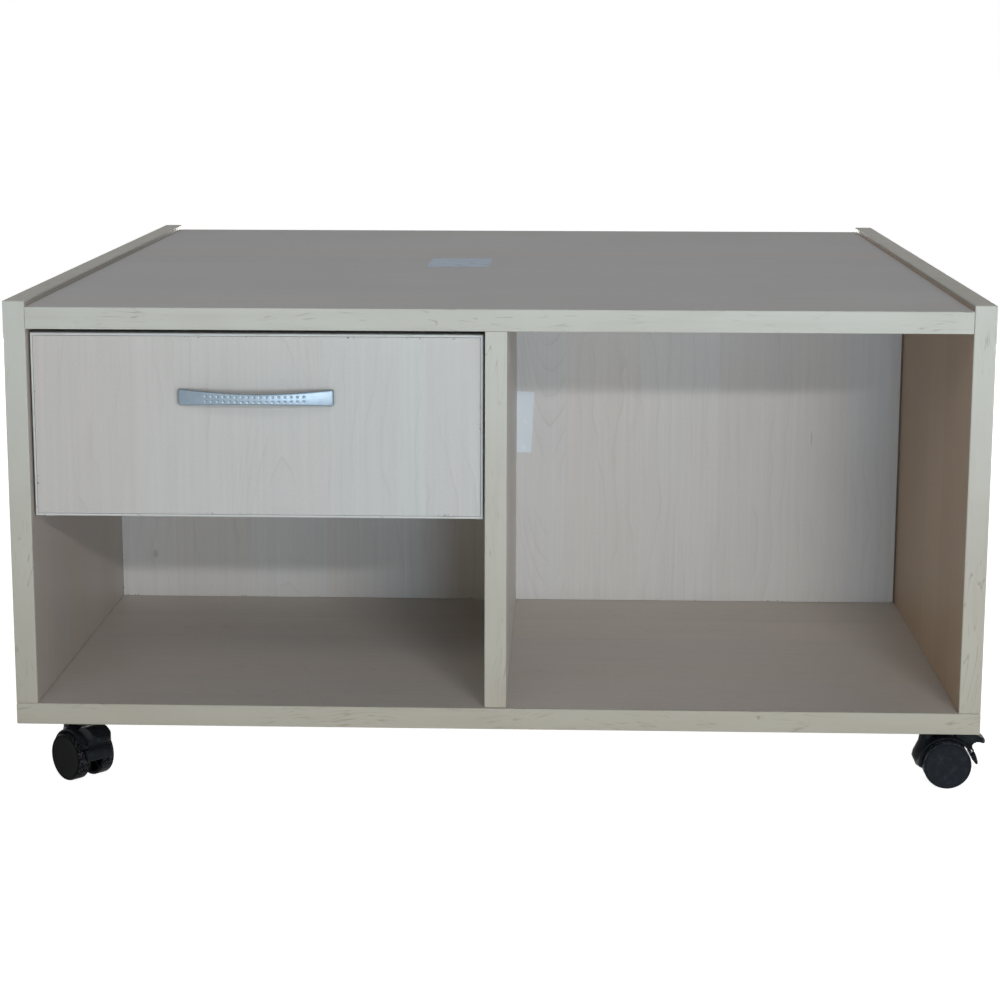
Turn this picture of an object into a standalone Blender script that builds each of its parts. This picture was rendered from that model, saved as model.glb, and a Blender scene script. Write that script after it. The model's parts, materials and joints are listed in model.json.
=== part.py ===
"""A square coffee table of laminated chipboard, open on two sides, with a drawer and four twin-wheel castors.

World frame, in metres: the origin lies on the floor under the table's centre, +Z is up, the drawer's
front faces -Y, and +X is on the right of someone who faces the drawer.
"""

import math

import bmesh
import bpy
from mathutils import Matrix, Vector

MM = 0.001

# Carcass
TABLE_WIDTH = 800 * MM
TABLE_DEPTH = 800 * MM
CARCASS_HEIGHT = 350 * MM  # the bottom panel's underside to the top surface
BOARD = 18 * MM
SIDE_LIP = 5 * MM  # the sides rise this far above the top
DIVIDER_WIDTH = 18 * MM
DIVIDER_RECESS = 2 * MM  # the dividers stand back from the carcass's open faces
SEAT = 0.3 * MM  # the gap between pieces that touch
OVERRUN = 2 * MM  # how far a cutter passes what it cuts

# Edging strips
EDGING = 2 * MM
EDGING_ROUND = 0.8 * MM

# Cam fittings in the dividers
CAM_INSET = 64 * MM  # from the divider's open edge
CAM_DROP = 34 * MM  # from the top panel's underside
CAM_DIAMETER = 15 * MM
CAM_LENGTH = 12.5 * MM
CAM_SLOT = 5.2 * MM
CAM_HOLLOW_DIAMETER = 9 * MM
CAM_HOLLOW_DEPTH = 10.2 * MM
CROSS_LENGTH = 7 * MM
CROSS_WIDTH = 1.4 * MM
CROSS_DEPTH = 1.2 * MM
BOLT_SHANK_DIAMETER = 4.4 * MM
BOLT_HEAD_DIAMETER = 7 * MM
BOLT_HEAD_LENGTH = 2.4 * MM
BOLT_NECK_DIAMETER = 2.8 * MM
BOLT_NECK_LENGTH = 3 * MM
BOLT_COLLAR_DIAMETER = 7 * MM
BOLT_COLLAR_LENGTH = 3 * MM
BOLT_THREAD_DIAMETER = 6 * MM
BOLT_THREAD_LENGTH = 11 * MM

# Drawer front and box
DRAWER_FRONT_GAP = 1.5 * MM  # between the front's ends and the boards beside it
DRAWER_FRONT_HEIGHT = 152 * MM
DRAWER_FRONT_DROP = 4 * MM  # from the top panel's underside
DRAWER_FRONT_RECESS = 10 * MM  # behind the carcass front
DRAWER_BACK_GAP = 13 * MM  # between the drawer's rear end and the partition
DRAWER_SIDE = 12 * MM
DRAWER_SIDE_HEIGHT = 110 * MM
DRAWER_RAISE = 14 * MM  # the drawer sides' lower edge above the front's
DRAWER_BOTTOM = 3 * MM
BOTTOM_RAISE = 10 * MM  # the groove above the drawer sides' lower edge
GROOVE_DEPTH = 6 * MM

# Roller runners
RUNNER_SPACE = 12.5 * MM  # between the drawer's side and what carries the runner
SHEET = 1.2 * MM
ROLLER_DIAMETER = 20 * MM
ROLLER_WIDTH = 7 * MM
ROLLER_CHAMFER = 0.8 * MM
PIN_DIAMETER = 4.4 * MM
PIN_HEAD_DIAMETER = 8 * MM
PIN_HEAD = 0.8 * MM
PIN_CLEARANCE = 0.3 * MM
ROLLER_SIDE_CLEARANCE = 0.5 * MM
FRONT_ROLLER_INSET = 20 * MM  # behind the back of the drawer front
REAR_ROLLER_INSET = 10 * MM  # ahead of the drawer's rear end
REAR_ROLLER_RAISE = 6 * MM  # above the underside of the drawer member's flange
ROLLER_LUG_DIAMETER = 16 * MM
TRACK_WIDTH = 9.5 * MM
LIP_WIDTH = 6.5 * MM
LIP_CLEARANCE = 1.5 * MM  # above the rear roller
DRAWER_FLANGE_WIDTH = 8.4 * MM
DRAWER_LEG_HEIGHT = 20 * MM
TRACK_START = 11 * MM  # behind the front roller's axis
FLANGE_END = 13 * MM  # ahead of the rear roller's axis

# Handle
HANDLE_LENGTH = 127 * MM
HANDLE_END_HEIGHT = 13.5 * MM
HANDLE_WAIST_HEIGHT = 8.7 * MM
HANDLE_MIDDLE_REACH = 17 * MM  # the front face's distance from the drawer front
HANDLE_END_REACH = 5 * MM
HANDLE_THICKNESS = 3 * MM
HANDLE_CROWN = 0.45 * MM
HANDLE_EDGE = 0.8 * MM
HANDLE_CENTRE_DROP = 55.7 * MM  # from the top panel's underside
HANDLE_SCREW_INSET = 15.5 * MM  # from the handle's ends, which leaves 96 mm between the screws
HANDLE_CORNER = 1.4 * MM
HANDLE_STATIONS = 24
HANDLE_BOSS_DIAMETER = 9 * MM
DIMPLES_IN_ROW = 17
DIMPLE_PITCH = 5 * MM
DIMPLE_ROW_SPACING = 4 * MM
DIMPLE_DIAMETER = 2.3 * MM
DIMPLE_DEPTH = 0.55 * MM
DIMPLE_RINGS = 6
SCREW_DIAMETER = 4 * MM
SCREW_HEAD_DIAMETER = 8 * MM
SCREW_HEAD_HEIGHT = 2.4 * MM
SCREW_BITE = 5 * MM  # how far the screw enters the handle's boss

# Castors. Each lies in its own frame: the swivel axis is Z, the wheels trail towards +X.
CASTOR_HEIGHT = 53 * MM
CASTOR_INSET = 37.5 * MM  # the swivel axis from the carcass's side and front
CASTOR_TRAIL = 15.5 * MM
WHEEL_DIAMETER = 40 * MM
WHEEL_WIDTH = 12 * MM
WHEEL_SPACING = 24.6 * MM  # between the two wheels' middles
WHEEL_ROUND = 1 * MM
WHEEL_RIM = 2.6 * MM
WHEEL_WALL = 2.6 * MM
WHEEL_DISH = 0.6 * MM
WHEEL_HUB_DIAMETER = 10 * MM
AXLE_DIAMETER = 5 * MM
AXLE_BITE = 9 * MM  # how far the axle enters each wheel
HOOD_CLEARANCE = 1.2 * MM  # between the wheels' treads and the hood
HOOD_WALL = 2 * MM
HOOD_CROWN = 1.8 * MM
HOOD_WIDTH = 26.6 * MM
HOOD_STEP = 0.25 * MM  # what the boss and the lugs stand back from the faces beside them
WEB_WIDTH = 8.6 * MM
AXLE_BOSS_DIAMETER = 12 * MM
HOOD_LEADING_ANGLE = math.radians(184)
HOOD_CHEEK_ANGLE = math.radians(29)
HOOD_TRAILING_ANGLE = math.radians(-4)
KINGPIN_DIAMETER = 6 * MM
KINGPIN_LENGTH = 27 * MM
PLATE_SIZE = 38 * MM
PLATE_THICKNESS = 1.8 * MM
PLATE_CORNER = 4 * MM
PLATE_HOLE_DIAMETER = 4.6 * MM
PLATE_HOLE_SPACING = 28 * MM
RACE_DIAMETER = 14 * MM
RACE_HEIGHT = 1.2 * MM
PLATE_CLEARANCE = 0.6 * MM  # between the race and the socket under it
SOCKET_NECK_DIAMETER = 13 * MM
SOCKET_WIDEST_DIAMETER = 24.4 * MM
SOCKET_FOOT_DIAMETER = 10 * MM
SOCKET_WIDEST_HEIGHT = 24 * MM
SOCKET_FOOT_HEIGHT = 13.5 * MM
SOCKET_NECK_HEIGHT = 41 * MM

# Brake lever, on the two front castors
LEVER_WIDTH = 19 * MM  # between the lugs
SHIELD_WIDTH = 26 * MM  # below the lugs, where the lever covers both treads
LEVER_CLEARANCE = 0.4 * MM
LEVER_PIVOT_RADIUS = 23 * MM
LEVER_PIVOT_ANGLE = math.radians(31)
LEVER_PIN_DIAMETER = 1.8 * MM
LEVER_PIN_REACH = 2.4 * MM
LEVER_LUG_DIAMETER = 5 * MM
LEVER_INNER_RADIUS = 21.5 * MM
LEVER_ROUND = 0.5 * MM
LEVER_NECK_ANGLE = math.radians(19)
LEVER_HEEL_ANGLE = math.radians(70)
LEVER_CREST_ANGLE = math.radians(72)
HORN_REACH = 33 * MM
HORN_ROUND = 8 * MM  # the horn's corners, seen from above
SHIELD_FOOT_ANGLE = math.radians(11)
SHIELD_TOP_ANGLE = math.radians(22)

# Each castor's name, its corner, the direction its wheels trail at rest and whether it has a brake
CASTORS = (
    ("front_left_castor", -1, -1, math.radians(-42.4), True),
    ("front_right_castor", 1, -1, math.radians(0), True),
    ("rear_left_castor", -1, 1, math.radians(-28), False),
    ("rear_right_castor", 1, 1, math.radians(205), False),
)

# Where the hood opens for the lever, as angles about the axle
OPENING_TOP_ANGLE = math.radians(73)
OPENING_LOW_ANGLE = math.radians(42)
OPENING_FLOOR_ANGLE = math.radians(26)

QUARTER_TURN = math.radians(90)
CORNER_ANGLE = math.radians(32)  # edges sharper than this stay sharp
LEVER_CORNER_ANGLE = math.radians(60)

# The solver for the moulded housing, whose many round cuts the exact one leaves open
MOULDED = "MANIFOLD"

HOOD_STEPS = 28
ROUND_STEPS = 24
SMALL_STEPS = 12
TINY_STEPS = 8
ARC_POINTS = 7

# Heights and places that follow from the sizes above
BOTTOM_UNDERSIDE = CASTOR_HEIGHT
BOTTOM_TOP = BOTTOM_UNDERSIDE + BOARD
TOP_SURFACE = BOTTOM_UNDERSIDE + CARCASS_HEIGHT
TOP_UNDERSIDE = TOP_SURFACE - BOARD
SIDE_INNER = TABLE_WIDTH / 2 - BOARD
PARTITION_FACE = BOARD / 2
DIVIDER_EDGE = TABLE_DEPTH / 2 - DIVIDER_RECESS
BAY_LEFT = -SIDE_INNER
BAY_RIGHT = -DIVIDER_WIDTH / 2
DRAWER_CENTRE = (BAY_LEFT + BAY_RIGHT) / 2
FRONT_FACE = -TABLE_DEPTH / 2 + DRAWER_FRONT_RECESS
FRONT_BACK = FRONT_FACE + BOARD
FRONT_TOP = TOP_UNDERSIDE - DRAWER_FRONT_DROP
FRONT_BOTTOM = FRONT_TOP - DRAWER_FRONT_HEIGHT
DRAWER_HALF = (BAY_RIGHT - BAY_LEFT) / 2 - RUNNER_SPACE
DRAWER_UNDERSIDE = FRONT_BOTTOM + DRAWER_RAISE
DRAWER_REAR = -PARTITION_FACE - DRAWER_BACK_GAP
SLAB_BOTTOM = DRAWER_UNDERSIDE + BOTTOM_RAISE
SLAB_TOP = SLAB_BOTTOM + DRAWER_BOTTOM
FLANGE_UNDERSIDE = DRAWER_UNDERSIDE - SEAT - SHEET
FRONT_ROLLER = Vector((0, FRONT_BACK + FRONT_ROLLER_INSET, FLANGE_UNDERSIDE - SEAT - ROLLER_DIAMETER / 2))
REAR_ROLLER = Vector((0, DRAWER_REAR - REAR_ROLLER_INSET, FLANGE_UNDERSIDE + REAR_ROLLER_RAISE))
TRACK_TOP = REAR_ROLLER.z - ROLLER_DIAMETER / 2 - SEAT
LIP_UNDERSIDE = REAR_ROLLER.z + ROLLER_DIAMETER / 2 + LIP_CLEARANCE
HANDLE_SCREW_SPACING = HANDLE_LENGTH - 2 * HANDLE_SCREW_INSET
HANDLE_CENTRE = Vector((DRAWER_CENTRE, FRONT_FACE, TOP_UNDERSIDE - HANDLE_CENTRE_DROP))
AXLE_HEIGHT = WHEEL_DIAMETER / 2
POCKET_RADIUS = WHEEL_DIAMETER / 2 + HOOD_CLEARANCE
HOOD_RADIUS = POCKET_RADIUS + HOOD_WALL
PLATE_UNDERSIDE = CASTOR_HEIGHT - SEAT - PLATE_THICKNESS
SOCKET_TOP = PLATE_UNDERSIDE - RACE_HEIGHT - PLATE_CLEARANCE

# Colour, roughness and metallic value of each material
FINISHES = {
    "board_laminate": ((0.52, 0.50, 0.46), 0.45, 0.0),
    "edging_strip": ((0.66, 0.67, 0.60), 0.40, 0.0),
    "drawer_laminate": ((0.60, 0.60, 0.58), 0.45, 0.0),
    "fibreboard": ((0.55, 0.52, 0.47), 0.60, 0.0),
    "runner_steel": ((0.80, 0.80, 0.78), 0.40, 0.2),
    "roller_nylon": ((0.85, 0.85, 0.83), 0.35, 0.0),
    "handle_metal": ((0.62, 0.66, 0.70), 0.30, 0.9),
    "zinc_steel": ((0.60, 0.60, 0.58), 0.35, 0.9),
    "plate_steel": ((0.035, 0.036, 0.038), 0.45, 0.3),
    "castor_nylon": ((0.030, 0.033, 0.036), 0.45, 0.0),
    "wheel_nylon": ((0.040, 0.044, 0.048), 0.40, 0.0),
}


def clear_scene():
    for item in list(bpy.data.objects):
        bpy.data.objects.remove(item, do_unlink=True)


def new_collection(name):
    group = bpy.data.collections.new(name)
    bpy.context.scene.collection.children.link(group)
    return group


def finish(name):
    """The named material, made the first time it is asked for."""
    found = bpy.data.materials.get(name)
    if found:
        return found
    colour, roughness, metallic = FINISHES[name]
    made = bpy.data.materials.new(name)
    made.use_nodes = True
    shader = made.node_tree.nodes["Principled BSDF"]
    shader.inputs["Base Color"].default_value = (*colour, 1.0)
    shader.inputs["Roughness"].default_value = roughness
    shader.inputs["Metallic"].default_value = metallic
    return made


def add_object(name, mesh, material=None, parent=None):
    """An object in the table's collection, or among the cutters when it has no material."""
    made = bpy.data.objects.new(name, mesh)
    if material:
        TABLE.objects.link(made)
        if not mesh.materials:
            mesh.materials.append(finish(material))
    else:
        CUTTERS.objects.link(made)
        made.hide_render = True
        made.display_type = "WIRE"
    made.parent = parent
    return made


def add_empty(name, place, turn=0.0, parent=None):
    made = bpy.data.objects.new(name, None)
    TABLE.objects.link(made)
    made.location = place
    made.rotation_euler.z = turn
    made.parent = parent
    return made


def mesh_from(bm, name):
    bmesh.ops.recalc_face_normals(bm, faces=bm.faces)
    mesh = bpy.data.meshes.new(name)
    bm.to_mesh(mesh)
    bm.free()
    return mesh


def smooth(mesh, angle=CORNER_ANGLE):
    mesh.shade_smooth()
    mesh.set_sharp_from_angle(angle=angle)


def box(name, low, high, material=None):
    """A block between two opposite corners."""
    low, high = Vector(low), Vector(high)
    bm = bmesh.new()
    size = high - low
    place = Matrix.Translation((low + high) / 2) @ Matrix.Diagonal((*size, 1))
    bmesh.ops.create_cube(bm, size=1, matrix=place)
    return add_object(name, mesh_from(bm, name), material)


def rounded_block(name, low, high, flat_axis, material=None):
    """A block whose edges round its two broad faces are rounded, as an edging strip's are."""
    made = box(name, low, high, material)
    bm = bmesh.new()
    bm.from_mesh(made.data)
    edges = [e for e in bm.edges if abs((e.verts[0].co - e.verts[1].co)[flat_axis]) < EDGING_ROUND]
    bmesh.ops.bevel(bm, geom=edges, offset=EDGING_ROUND, segments=2, profile=0.5, affect="EDGES")
    bm.to_mesh(made.data)
    bm.free()
    return made


def cylinder(name, radius, start, end, steps=SMALL_STEPS, material=None):
    """A round bar between two points."""
    start, end = Vector(start), Vector(end)
    along = end - start
    place = Matrix.Translation((start + end) / 2) @ along.to_track_quat("Z", "Y").to_matrix().to_4x4()
    bm = bmesh.new()
    bmesh.ops.create_cone(
        bm, cap_ends=True, segments=steps, radius1=radius, radius2=radius, depth=along.length, matrix=place
    )
    made = add_object(name, mesh_from(bm, name), material)
    smooth(made.data)
    return made


def turned(name, profile, steps, material=None, parent=None, ring=False):
    """A solid turned about its Z axis from (radius, height) points that run from the top down."""
    mesh = bpy.data.meshes.new(name)
    points = [(radius, 0, height) for radius, height in profile]
    edges = [(i, i + 1) for i in range(len(points) - 1)]
    if ring:
        edges.append((len(points) - 1, 0))
    mesh.from_pydata(points, edges, [])
    made = add_object(name, mesh, material, parent)
    screw = made.modifiers.new("Turn", "SCREW")
    screw.steps = screw.render_steps = steps
    screw.use_merge_vertices = True
    screw.merge_threshold = 0.001 * MM
    return made


def prism(name, outline, low, high, place=None, material=None, parent=None):
    """A flat outline of (x, y) points raised from low to high, then set by a matrix."""
    bm = bmesh.new()
    face = bm.faces.new([bm.verts.new((x, y, low)) for x, y in outline])
    raised = bmesh.ops.extrude_face_region(bm, geom=[face])
    top = [item for item in raised["geom"] if isinstance(item, bmesh.types.BMVert)]
    bmesh.ops.translate(bm, verts=top, vec=(0, 0, high - low))
    if place:
        bm.transform(place)
    return add_object(name, mesh_from(bm, name), material, parent)


def shape(target, operation, tools, solver):
    for tool in tools:
        step = target.modifiers.new(tool.name, "BOOLEAN")
        step.operation = operation
        step.solver = solver
        step.object = tool
    return target


def cut(target, *tools, solver="EXACT"):
    return shape(target, "DIFFERENCE", tools, solver)


def join(target, *tools, solver="EXACT"):
    return shape(target, "UNION", tools, solver)


def settle(target):
    """The mesh that an object's modifiers give, with the object and its tools removed."""
    bpy.context.view_layer.update()
    seen = target.evaluated_get(bpy.context.evaluated_depsgraph_get())
    mesh = bpy.data.meshes.new_from_object(seen)
    mesh.transform(target.matrix_world)
    mesh.name = target.name
    smooth(mesh)
    tools = [step.object for step in target.modifiers if step.type == "BOOLEAN"]
    for item in (*tools, target):
        bpy.data.objects.remove(item, do_unlink=True)
    return mesh


def arc(radius, start, end, count, centre=(0.0, 0.0)):
    """Points along an arc, both ends among them."""
    turns = [start + (end - start) * i / (count - 1) for i in range(count)]
    return [(centre[0] + radius * math.cos(t), centre[1] + radius * math.sin(t)) for t in turns]


def side_frame(x, inward):
    """The matrix that takes (y, z, distance inward) points to the world, beside a wall at x."""
    return Matrix(((0, 0, inward, x), (1, 0, 0, 0), (0, 1, 0, 0), (0, 0, 0, 1)))


# Boards and their edging


def edging_round(name, low, high, flat_axis, core_low, core_high):
    """The strip round a board, as one band: the board's outer shape less its core."""
    band = rounded_block(name, low, high, flat_axis, "edging_strip")
    inner = box(f"{name}_core", core_low, core_high)
    return cut(band, inner)


def bottom_board():
    half_x, half_y = TABLE_WIDTH / 2, TABLE_DEPTH / 2
    core_x, core_y = half_x - EDGING, half_y - EDGING
    box(
        "bottom_panel",
        (-core_x + SEAT, -core_y + SEAT, BOTTOM_UNDERSIDE),
        (core_x - SEAT, core_y - SEAT, BOTTOM_TOP),
        "board_laminate",
    )
    edging_round(
        "bottom_panel_edging",
        (-half_x, -half_y, BOTTOM_UNDERSIDE),
        (half_x, half_y, BOTTOM_TOP),
        2,
        (-core_x, -core_y, BOTTOM_UNDERSIDE - OVERRUN),
        (core_x, core_y, BOTTOM_TOP + OVERRUN),
    )


def top_board():
    half_x, half_y = SIDE_INNER - SEAT, TABLE_DEPTH / 2
    core_y = half_y - EDGING - SEAT
    box("top_panel", (-half_x, -core_y, TOP_UNDERSIDE), (half_x, core_y, TOP_SURFACE), "board_laminate")
    for name, side in (("top_panel_front_edging", -1), ("top_panel_rear_edging", 1)):
        near, far = sorted((side * half_y, side * (half_y - EDGING)))
        edging_strip(name, (-half_x, near, TOP_UNDERSIDE), (half_x, far, TOP_SURFACE), 1, side)


def edging_strip(name, low, high, out_axis, side):
    """One straight strip, its two long outer edges rounded. It faces out along side of out_axis."""
    strip = box(name, low, high, "edging_strip")
    long_axis = max(range(3), key=lambda axis: high[axis] - low[axis])
    outer = (high if side > 0 else low)[out_axis]
    bm = bmesh.new()
    bm.from_mesh(strip.data)
    edges = []
    for edge in bm.edges:
        start, end = (v.co for v in edge.verts)
        on_face = abs(start[out_axis] - outer) < EDGING_ROUND and abs(end[out_axis] - outer) < EDGING_ROUND
        if on_face and abs(start[long_axis] - end[long_axis]) > EDGING_ROUND:
            edges.append(edge)
    bmesh.ops.bevel(bm, geom=edges, offset=EDGING_ROUND, segments=2, profile=0.5, affect="EDGES")
    bm.to_mesh(strip.data)
    bm.free()
    return strip


def side_board(name, side):
    """A side panel, which stands on the bottom panel and rises past the top, and its edging."""
    outer, inner = side * TABLE_WIDTH / 2, side * SIDE_INNER
    near, far = sorted((outer, inner))
    half_y, foot, head = TABLE_DEPTH / 2, BOTTOM_TOP + SEAT, TOP_SURFACE + SIDE_LIP
    core_y, core_head = half_y - EDGING, head - EDGING
    low, high = (near, -core_y + SEAT, foot), (far, core_y - SEAT, core_head - SEAT)
    box(f"{name}_panel", low, high, "board_laminate")
    edging_round(
        f"{name}_edging",
        (near, -half_y, foot - OVERRUN),
        (far, half_y, head),
        0,
        (near - OVERRUN, -core_y, foot - 2 * OVERRUN),
        (far + OVERRUN, core_y, core_head),
    )
    trim = box(
        f"{name}_edging_foot",
        (near - OVERRUN, -half_y - OVERRUN, foot - 2 * OVERRUN),
        (far + OVERRUN, half_y + OVERRUN, foot),
    )
    cut(bpy.data.objects[f"{name}_edging"], trim)


def divider(name, side):
    """The upright between the two bays of one open side, with its cam fitting."""
    half = DIVIDER_WIDTH / 2
    edge = side * DIVIDER_EDGE
    root = side * (PARTITION_FACE + SEAT)
    foot, head = BOTTOM_TOP + SEAT, TOP_UNDERSIDE - SEAT
    near, far = sorted((root, edge - side * (EDGING + SEAT)))
    board = box(name, (-half, near, foot), (half, far, head), "board_laminate")
    strip_near, strip_far = sorted((edge, edge - side * EDGING))
    edging_strip(f"{name}_edging", (-half, strip_near, foot), (half, strip_far, head), 1, side)

    cam_y, cam_z = edge - side * CAM_INSET, TOP_UNDERSIDE - CAM_DROP
    pocket_depth = CAM_LENGTH + SEAT
    pocket = cylinder(
        f"{name}_cam_pocket",
        CAM_DIAMETER / 2 + SEAT,
        (half - pocket_depth, cam_y, cam_z),
        (half + OVERRUN, cam_y, cam_z),
    )
    bolt_x = half - CAM_LENGTH / 2
    bolt_bore = cylinder(
        f"{name}_bolt_bore",
        BOLT_COLLAR_DIAMETER / 2 + SEAT,
        (bolt_x, cam_y, cam_z + CAM_DIAMETER / 4),
        (bolt_x, cam_y, head + OVERRUN),
    )
    cut(board, pocket, bolt_bore)
    cam_fitting(name, Vector((half, cam_y, cam_z)), bolt_x)
    top_bore = cylinder(
        f"{name}_thread_bore",
        BOLT_THREAD_DIAMETER / 2 + SEAT,
        (bolt_x, cam_y, TOP_UNDERSIDE - OVERRUN),
        (bolt_x, cam_y, TOP_UNDERSIDE + BOLT_THREAD_LENGTH + SEAT),
    )
    cut(bpy.data.objects["top_panel"], top_bore)


def cam_fitting(name, face, bolt_x):
    """A cam in the divider's face, and the bolt that hangs from the top panel into it."""
    cam = cylinder(
        f"{name}_cam", CAM_DIAMETER / 2, face - Vector((CAM_LENGTH, 0, 0)), face, ROUND_STEPS, "zinc_steel"
    )
    hollow = cylinder(
        f"{name}_cam_hollow",
        CAM_HOLLOW_DIAMETER / 2,
        face + Vector((-CAM_LENGTH - OVERRUN, 0, 0)),
        face + Vector((-CAM_LENGTH + CAM_HOLLOW_DEPTH, 0, 0)),
    )
    slot = box(
        f"{name}_cam_slot",
        (face.x - CAM_LENGTH - OVERRUN, face.y - CAM_SLOT / 2, face.z),
        (bolt_x + CAM_SLOT / 2, face.y + CAM_SLOT / 2, face.z + CAM_DIAMETER),
    )
    bars = [
        box(
            f"{name}_cam_cross_{label}",
            (face.x - CROSS_DEPTH, face.y - across / 2, face.z - tall / 2),
            (face.x + OVERRUN, face.y + across / 2, face.z + tall / 2),
        )
        for label, across, tall in (
            ("flat", CROSS_LENGTH, CROSS_WIDTH),
            ("upright", CROSS_WIDTH, CROSS_LENGTH),
        )
    ]
    cut(cam, hollow, slot, *bars)

    head_low = face.z - BOLT_HEAD_LENGTH / 2
    neck_low = head_low + BOLT_HEAD_LENGTH
    shank_low = neck_low + BOLT_NECK_LENGTH
    collar_low = TOP_UNDERSIDE - SEAT - BOLT_COLLAR_LENGTH
    thread_top = TOP_UNDERSIDE + BOLT_THREAD_LENGTH
    sections = (
        (thread_top, TOP_UNDERSIDE - SEAT, BOLT_THREAD_DIAMETER),
        (TOP_UNDERSIDE - SEAT, collar_low, BOLT_COLLAR_DIAMETER),
        (collar_low, shank_low, BOLT_SHANK_DIAMETER),
        (shank_low, neck_low, BOLT_NECK_DIAMETER),
        (neck_low, head_low, BOLT_HEAD_DIAMETER),
    )
    profile = [(0, thread_top)]
    for upper, lower, diameter in sections:
        profile += [(diameter / 2, upper), (diameter / 2, lower)]
    profile.append((0, head_low))
    bolt = turned(f"{name}_cam_bolt", profile, SMALL_STEPS, "zinc_steel")
    bolt.location = (bolt_x, face.y, 0)


def partition():
    box(
        "centre_partition",
        (-SIDE_INNER + SEAT, -PARTITION_FACE, BOTTOM_TOP + SEAT),
        (SIDE_INNER - SEAT, PARTITION_FACE, TOP_UNDERSIDE - SEAT),
        "board_laminate",
    )


# Drawer


def drawer(slide):
    """The drawer's front and box. Its sides and front are grooved for the bottom."""
    half_front = (BAY_RIGHT - BAY_LEFT) / 2 - DRAWER_FRONT_GAP
    low = Vector((DRAWER_CENTRE - half_front, FRONT_FACE, FRONT_BOTTOM))
    high = Vector((DRAWER_CENTRE + half_front, FRONT_BACK, FRONT_TOP))
    inset = Vector((EDGING, 0, EDGING))
    past = Vector((0, OVERRUN, 0))
    seat = Vector((SEAT, 0, SEAT))
    front = box("drawer_front", low + inset + seat, high - inset - seat, "drawer_laminate")
    edging_round("drawer_front_edging", low, high, 1, low + inset - past, high - inset + past)

    inner = DRAWER_HALF - DRAWER_SIDE
    groove_half = inner + GROOVE_DEPTH
    groove_low, groove_high = SLAB_BOTTOM - SEAT, SLAB_TOP + SEAT
    front_groove = box(
        "drawer_front_groove",
        (DRAWER_CENTRE - groove_half, FRONT_BACK - GROOVE_DEPTH, groove_low),
        (DRAWER_CENTRE + groove_half, FRONT_BACK + OVERRUN, groove_high),
    )
    holes = [
        cylinder(
            f"drawer_front_hole_{label}",
            SCREW_DIAMETER / 2 + SEAT,
            (x, FRONT_FACE - OVERRUN, HANDLE_CENTRE.z),
            (x, FRONT_BACK + OVERRUN, HANDLE_CENTRE.z),
            TINY_STEPS,
        )
        for label, x in handle_feet()
    ]
    cut(front, front_groove, *holes)

    top = DRAWER_UNDERSIDE + DRAWER_SIDE_HEIGHT
    start = FRONT_BACK + SEAT
    for name, side in (("drawer_left_side", -1), ("drawer_right_side", 1)):
        outer = DRAWER_CENTRE + side * DRAWER_HALF
        near, far = sorted((outer, DRAWER_CENTRE + side * inner))
        board = box(name, (near, start, DRAWER_UNDERSIDE), (far, DRAWER_REAR, top), "drawer_laminate")
        near, far = sorted((DRAWER_CENTRE + side * groove_half, DRAWER_CENTRE + side * (inner - OVERRUN)))
        groove = box(
            f"{name}_groove", (near, start - OVERRUN, groove_low), (far, DRAWER_REAR + OVERRUN, groove_high)
        )
        cut(board, groove)
    box(
        "drawer_back",
        (DRAWER_CENTRE - inner + SEAT, DRAWER_REAR - DRAWER_SIDE, SLAB_TOP + SEAT),
        (DRAWER_CENTRE + inner - SEAT, DRAWER_REAR, top),
        "drawer_laminate",
    )
    box(
        "drawer_bottom",
        (DRAWER_CENTRE - groove_half + SEAT, FRONT_BACK - GROOVE_DEPTH + SEAT, SLAB_BOTTOM),
        (DRAWER_CENTRE + groove_half - SEAT, DRAWER_REAR, SLAB_TOP),
        "fibreboard",
    )
    for name in (
        "drawer_front",
        "drawer_front_edging",
        "drawer_left_side",
        "drawer_right_side",
        "drawer_back",
        "drawer_bottom",
    ):
        bpy.data.objects[name].parent = slide


# Handle


def handle_feet():
    """The names and places along X of the handle's two screws."""
    middle, reach = HANDLE_CENTRE.x, HANDLE_SCREW_SPACING / 2
    return [("left", middle - reach), ("right", middle + reach)]


def handle_reach(x):
    """The distance from the drawer front to the handle's front face, x from its middle."""
    share = x / (HANDLE_LENGTH / 2)
    return HANDLE_MIDDLE_REACH - (HANDLE_MIDDLE_REACH - HANDLE_END_REACH) * share**2


def handle_half_height(x):
    """Half the handle's height, which grows from its waist to its ends."""
    share = abs(x) / (HANDLE_LENGTH / 2)
    return (HANDLE_WAIST_HEIGHT + (HANDLE_END_HEIGHT - HANDLE_WAIST_HEIGHT) * share**1.7) / 2


def handle_section(x, shrink):
    """The handle's section at x, in world places: a crowned front, rounded edges and a flat back."""
    tall, reach = handle_half_height(x) - shrink, handle_reach(x)
    edge = HANDLE_EDGE
    outline = (
        (-tall, reach - HANDLE_THICKNESS),
        (-tall, reach - edge),
        (-tall + edge, reach),
        (0, reach + HANDLE_CROWN),
        (tall - edge, reach),
        (tall, reach - edge),
        (tall, reach - HANDLE_THICKNESS),
    )
    return [HANDLE_CENTRE + Vector((x, -out, up)) for up, out in outline]


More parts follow.
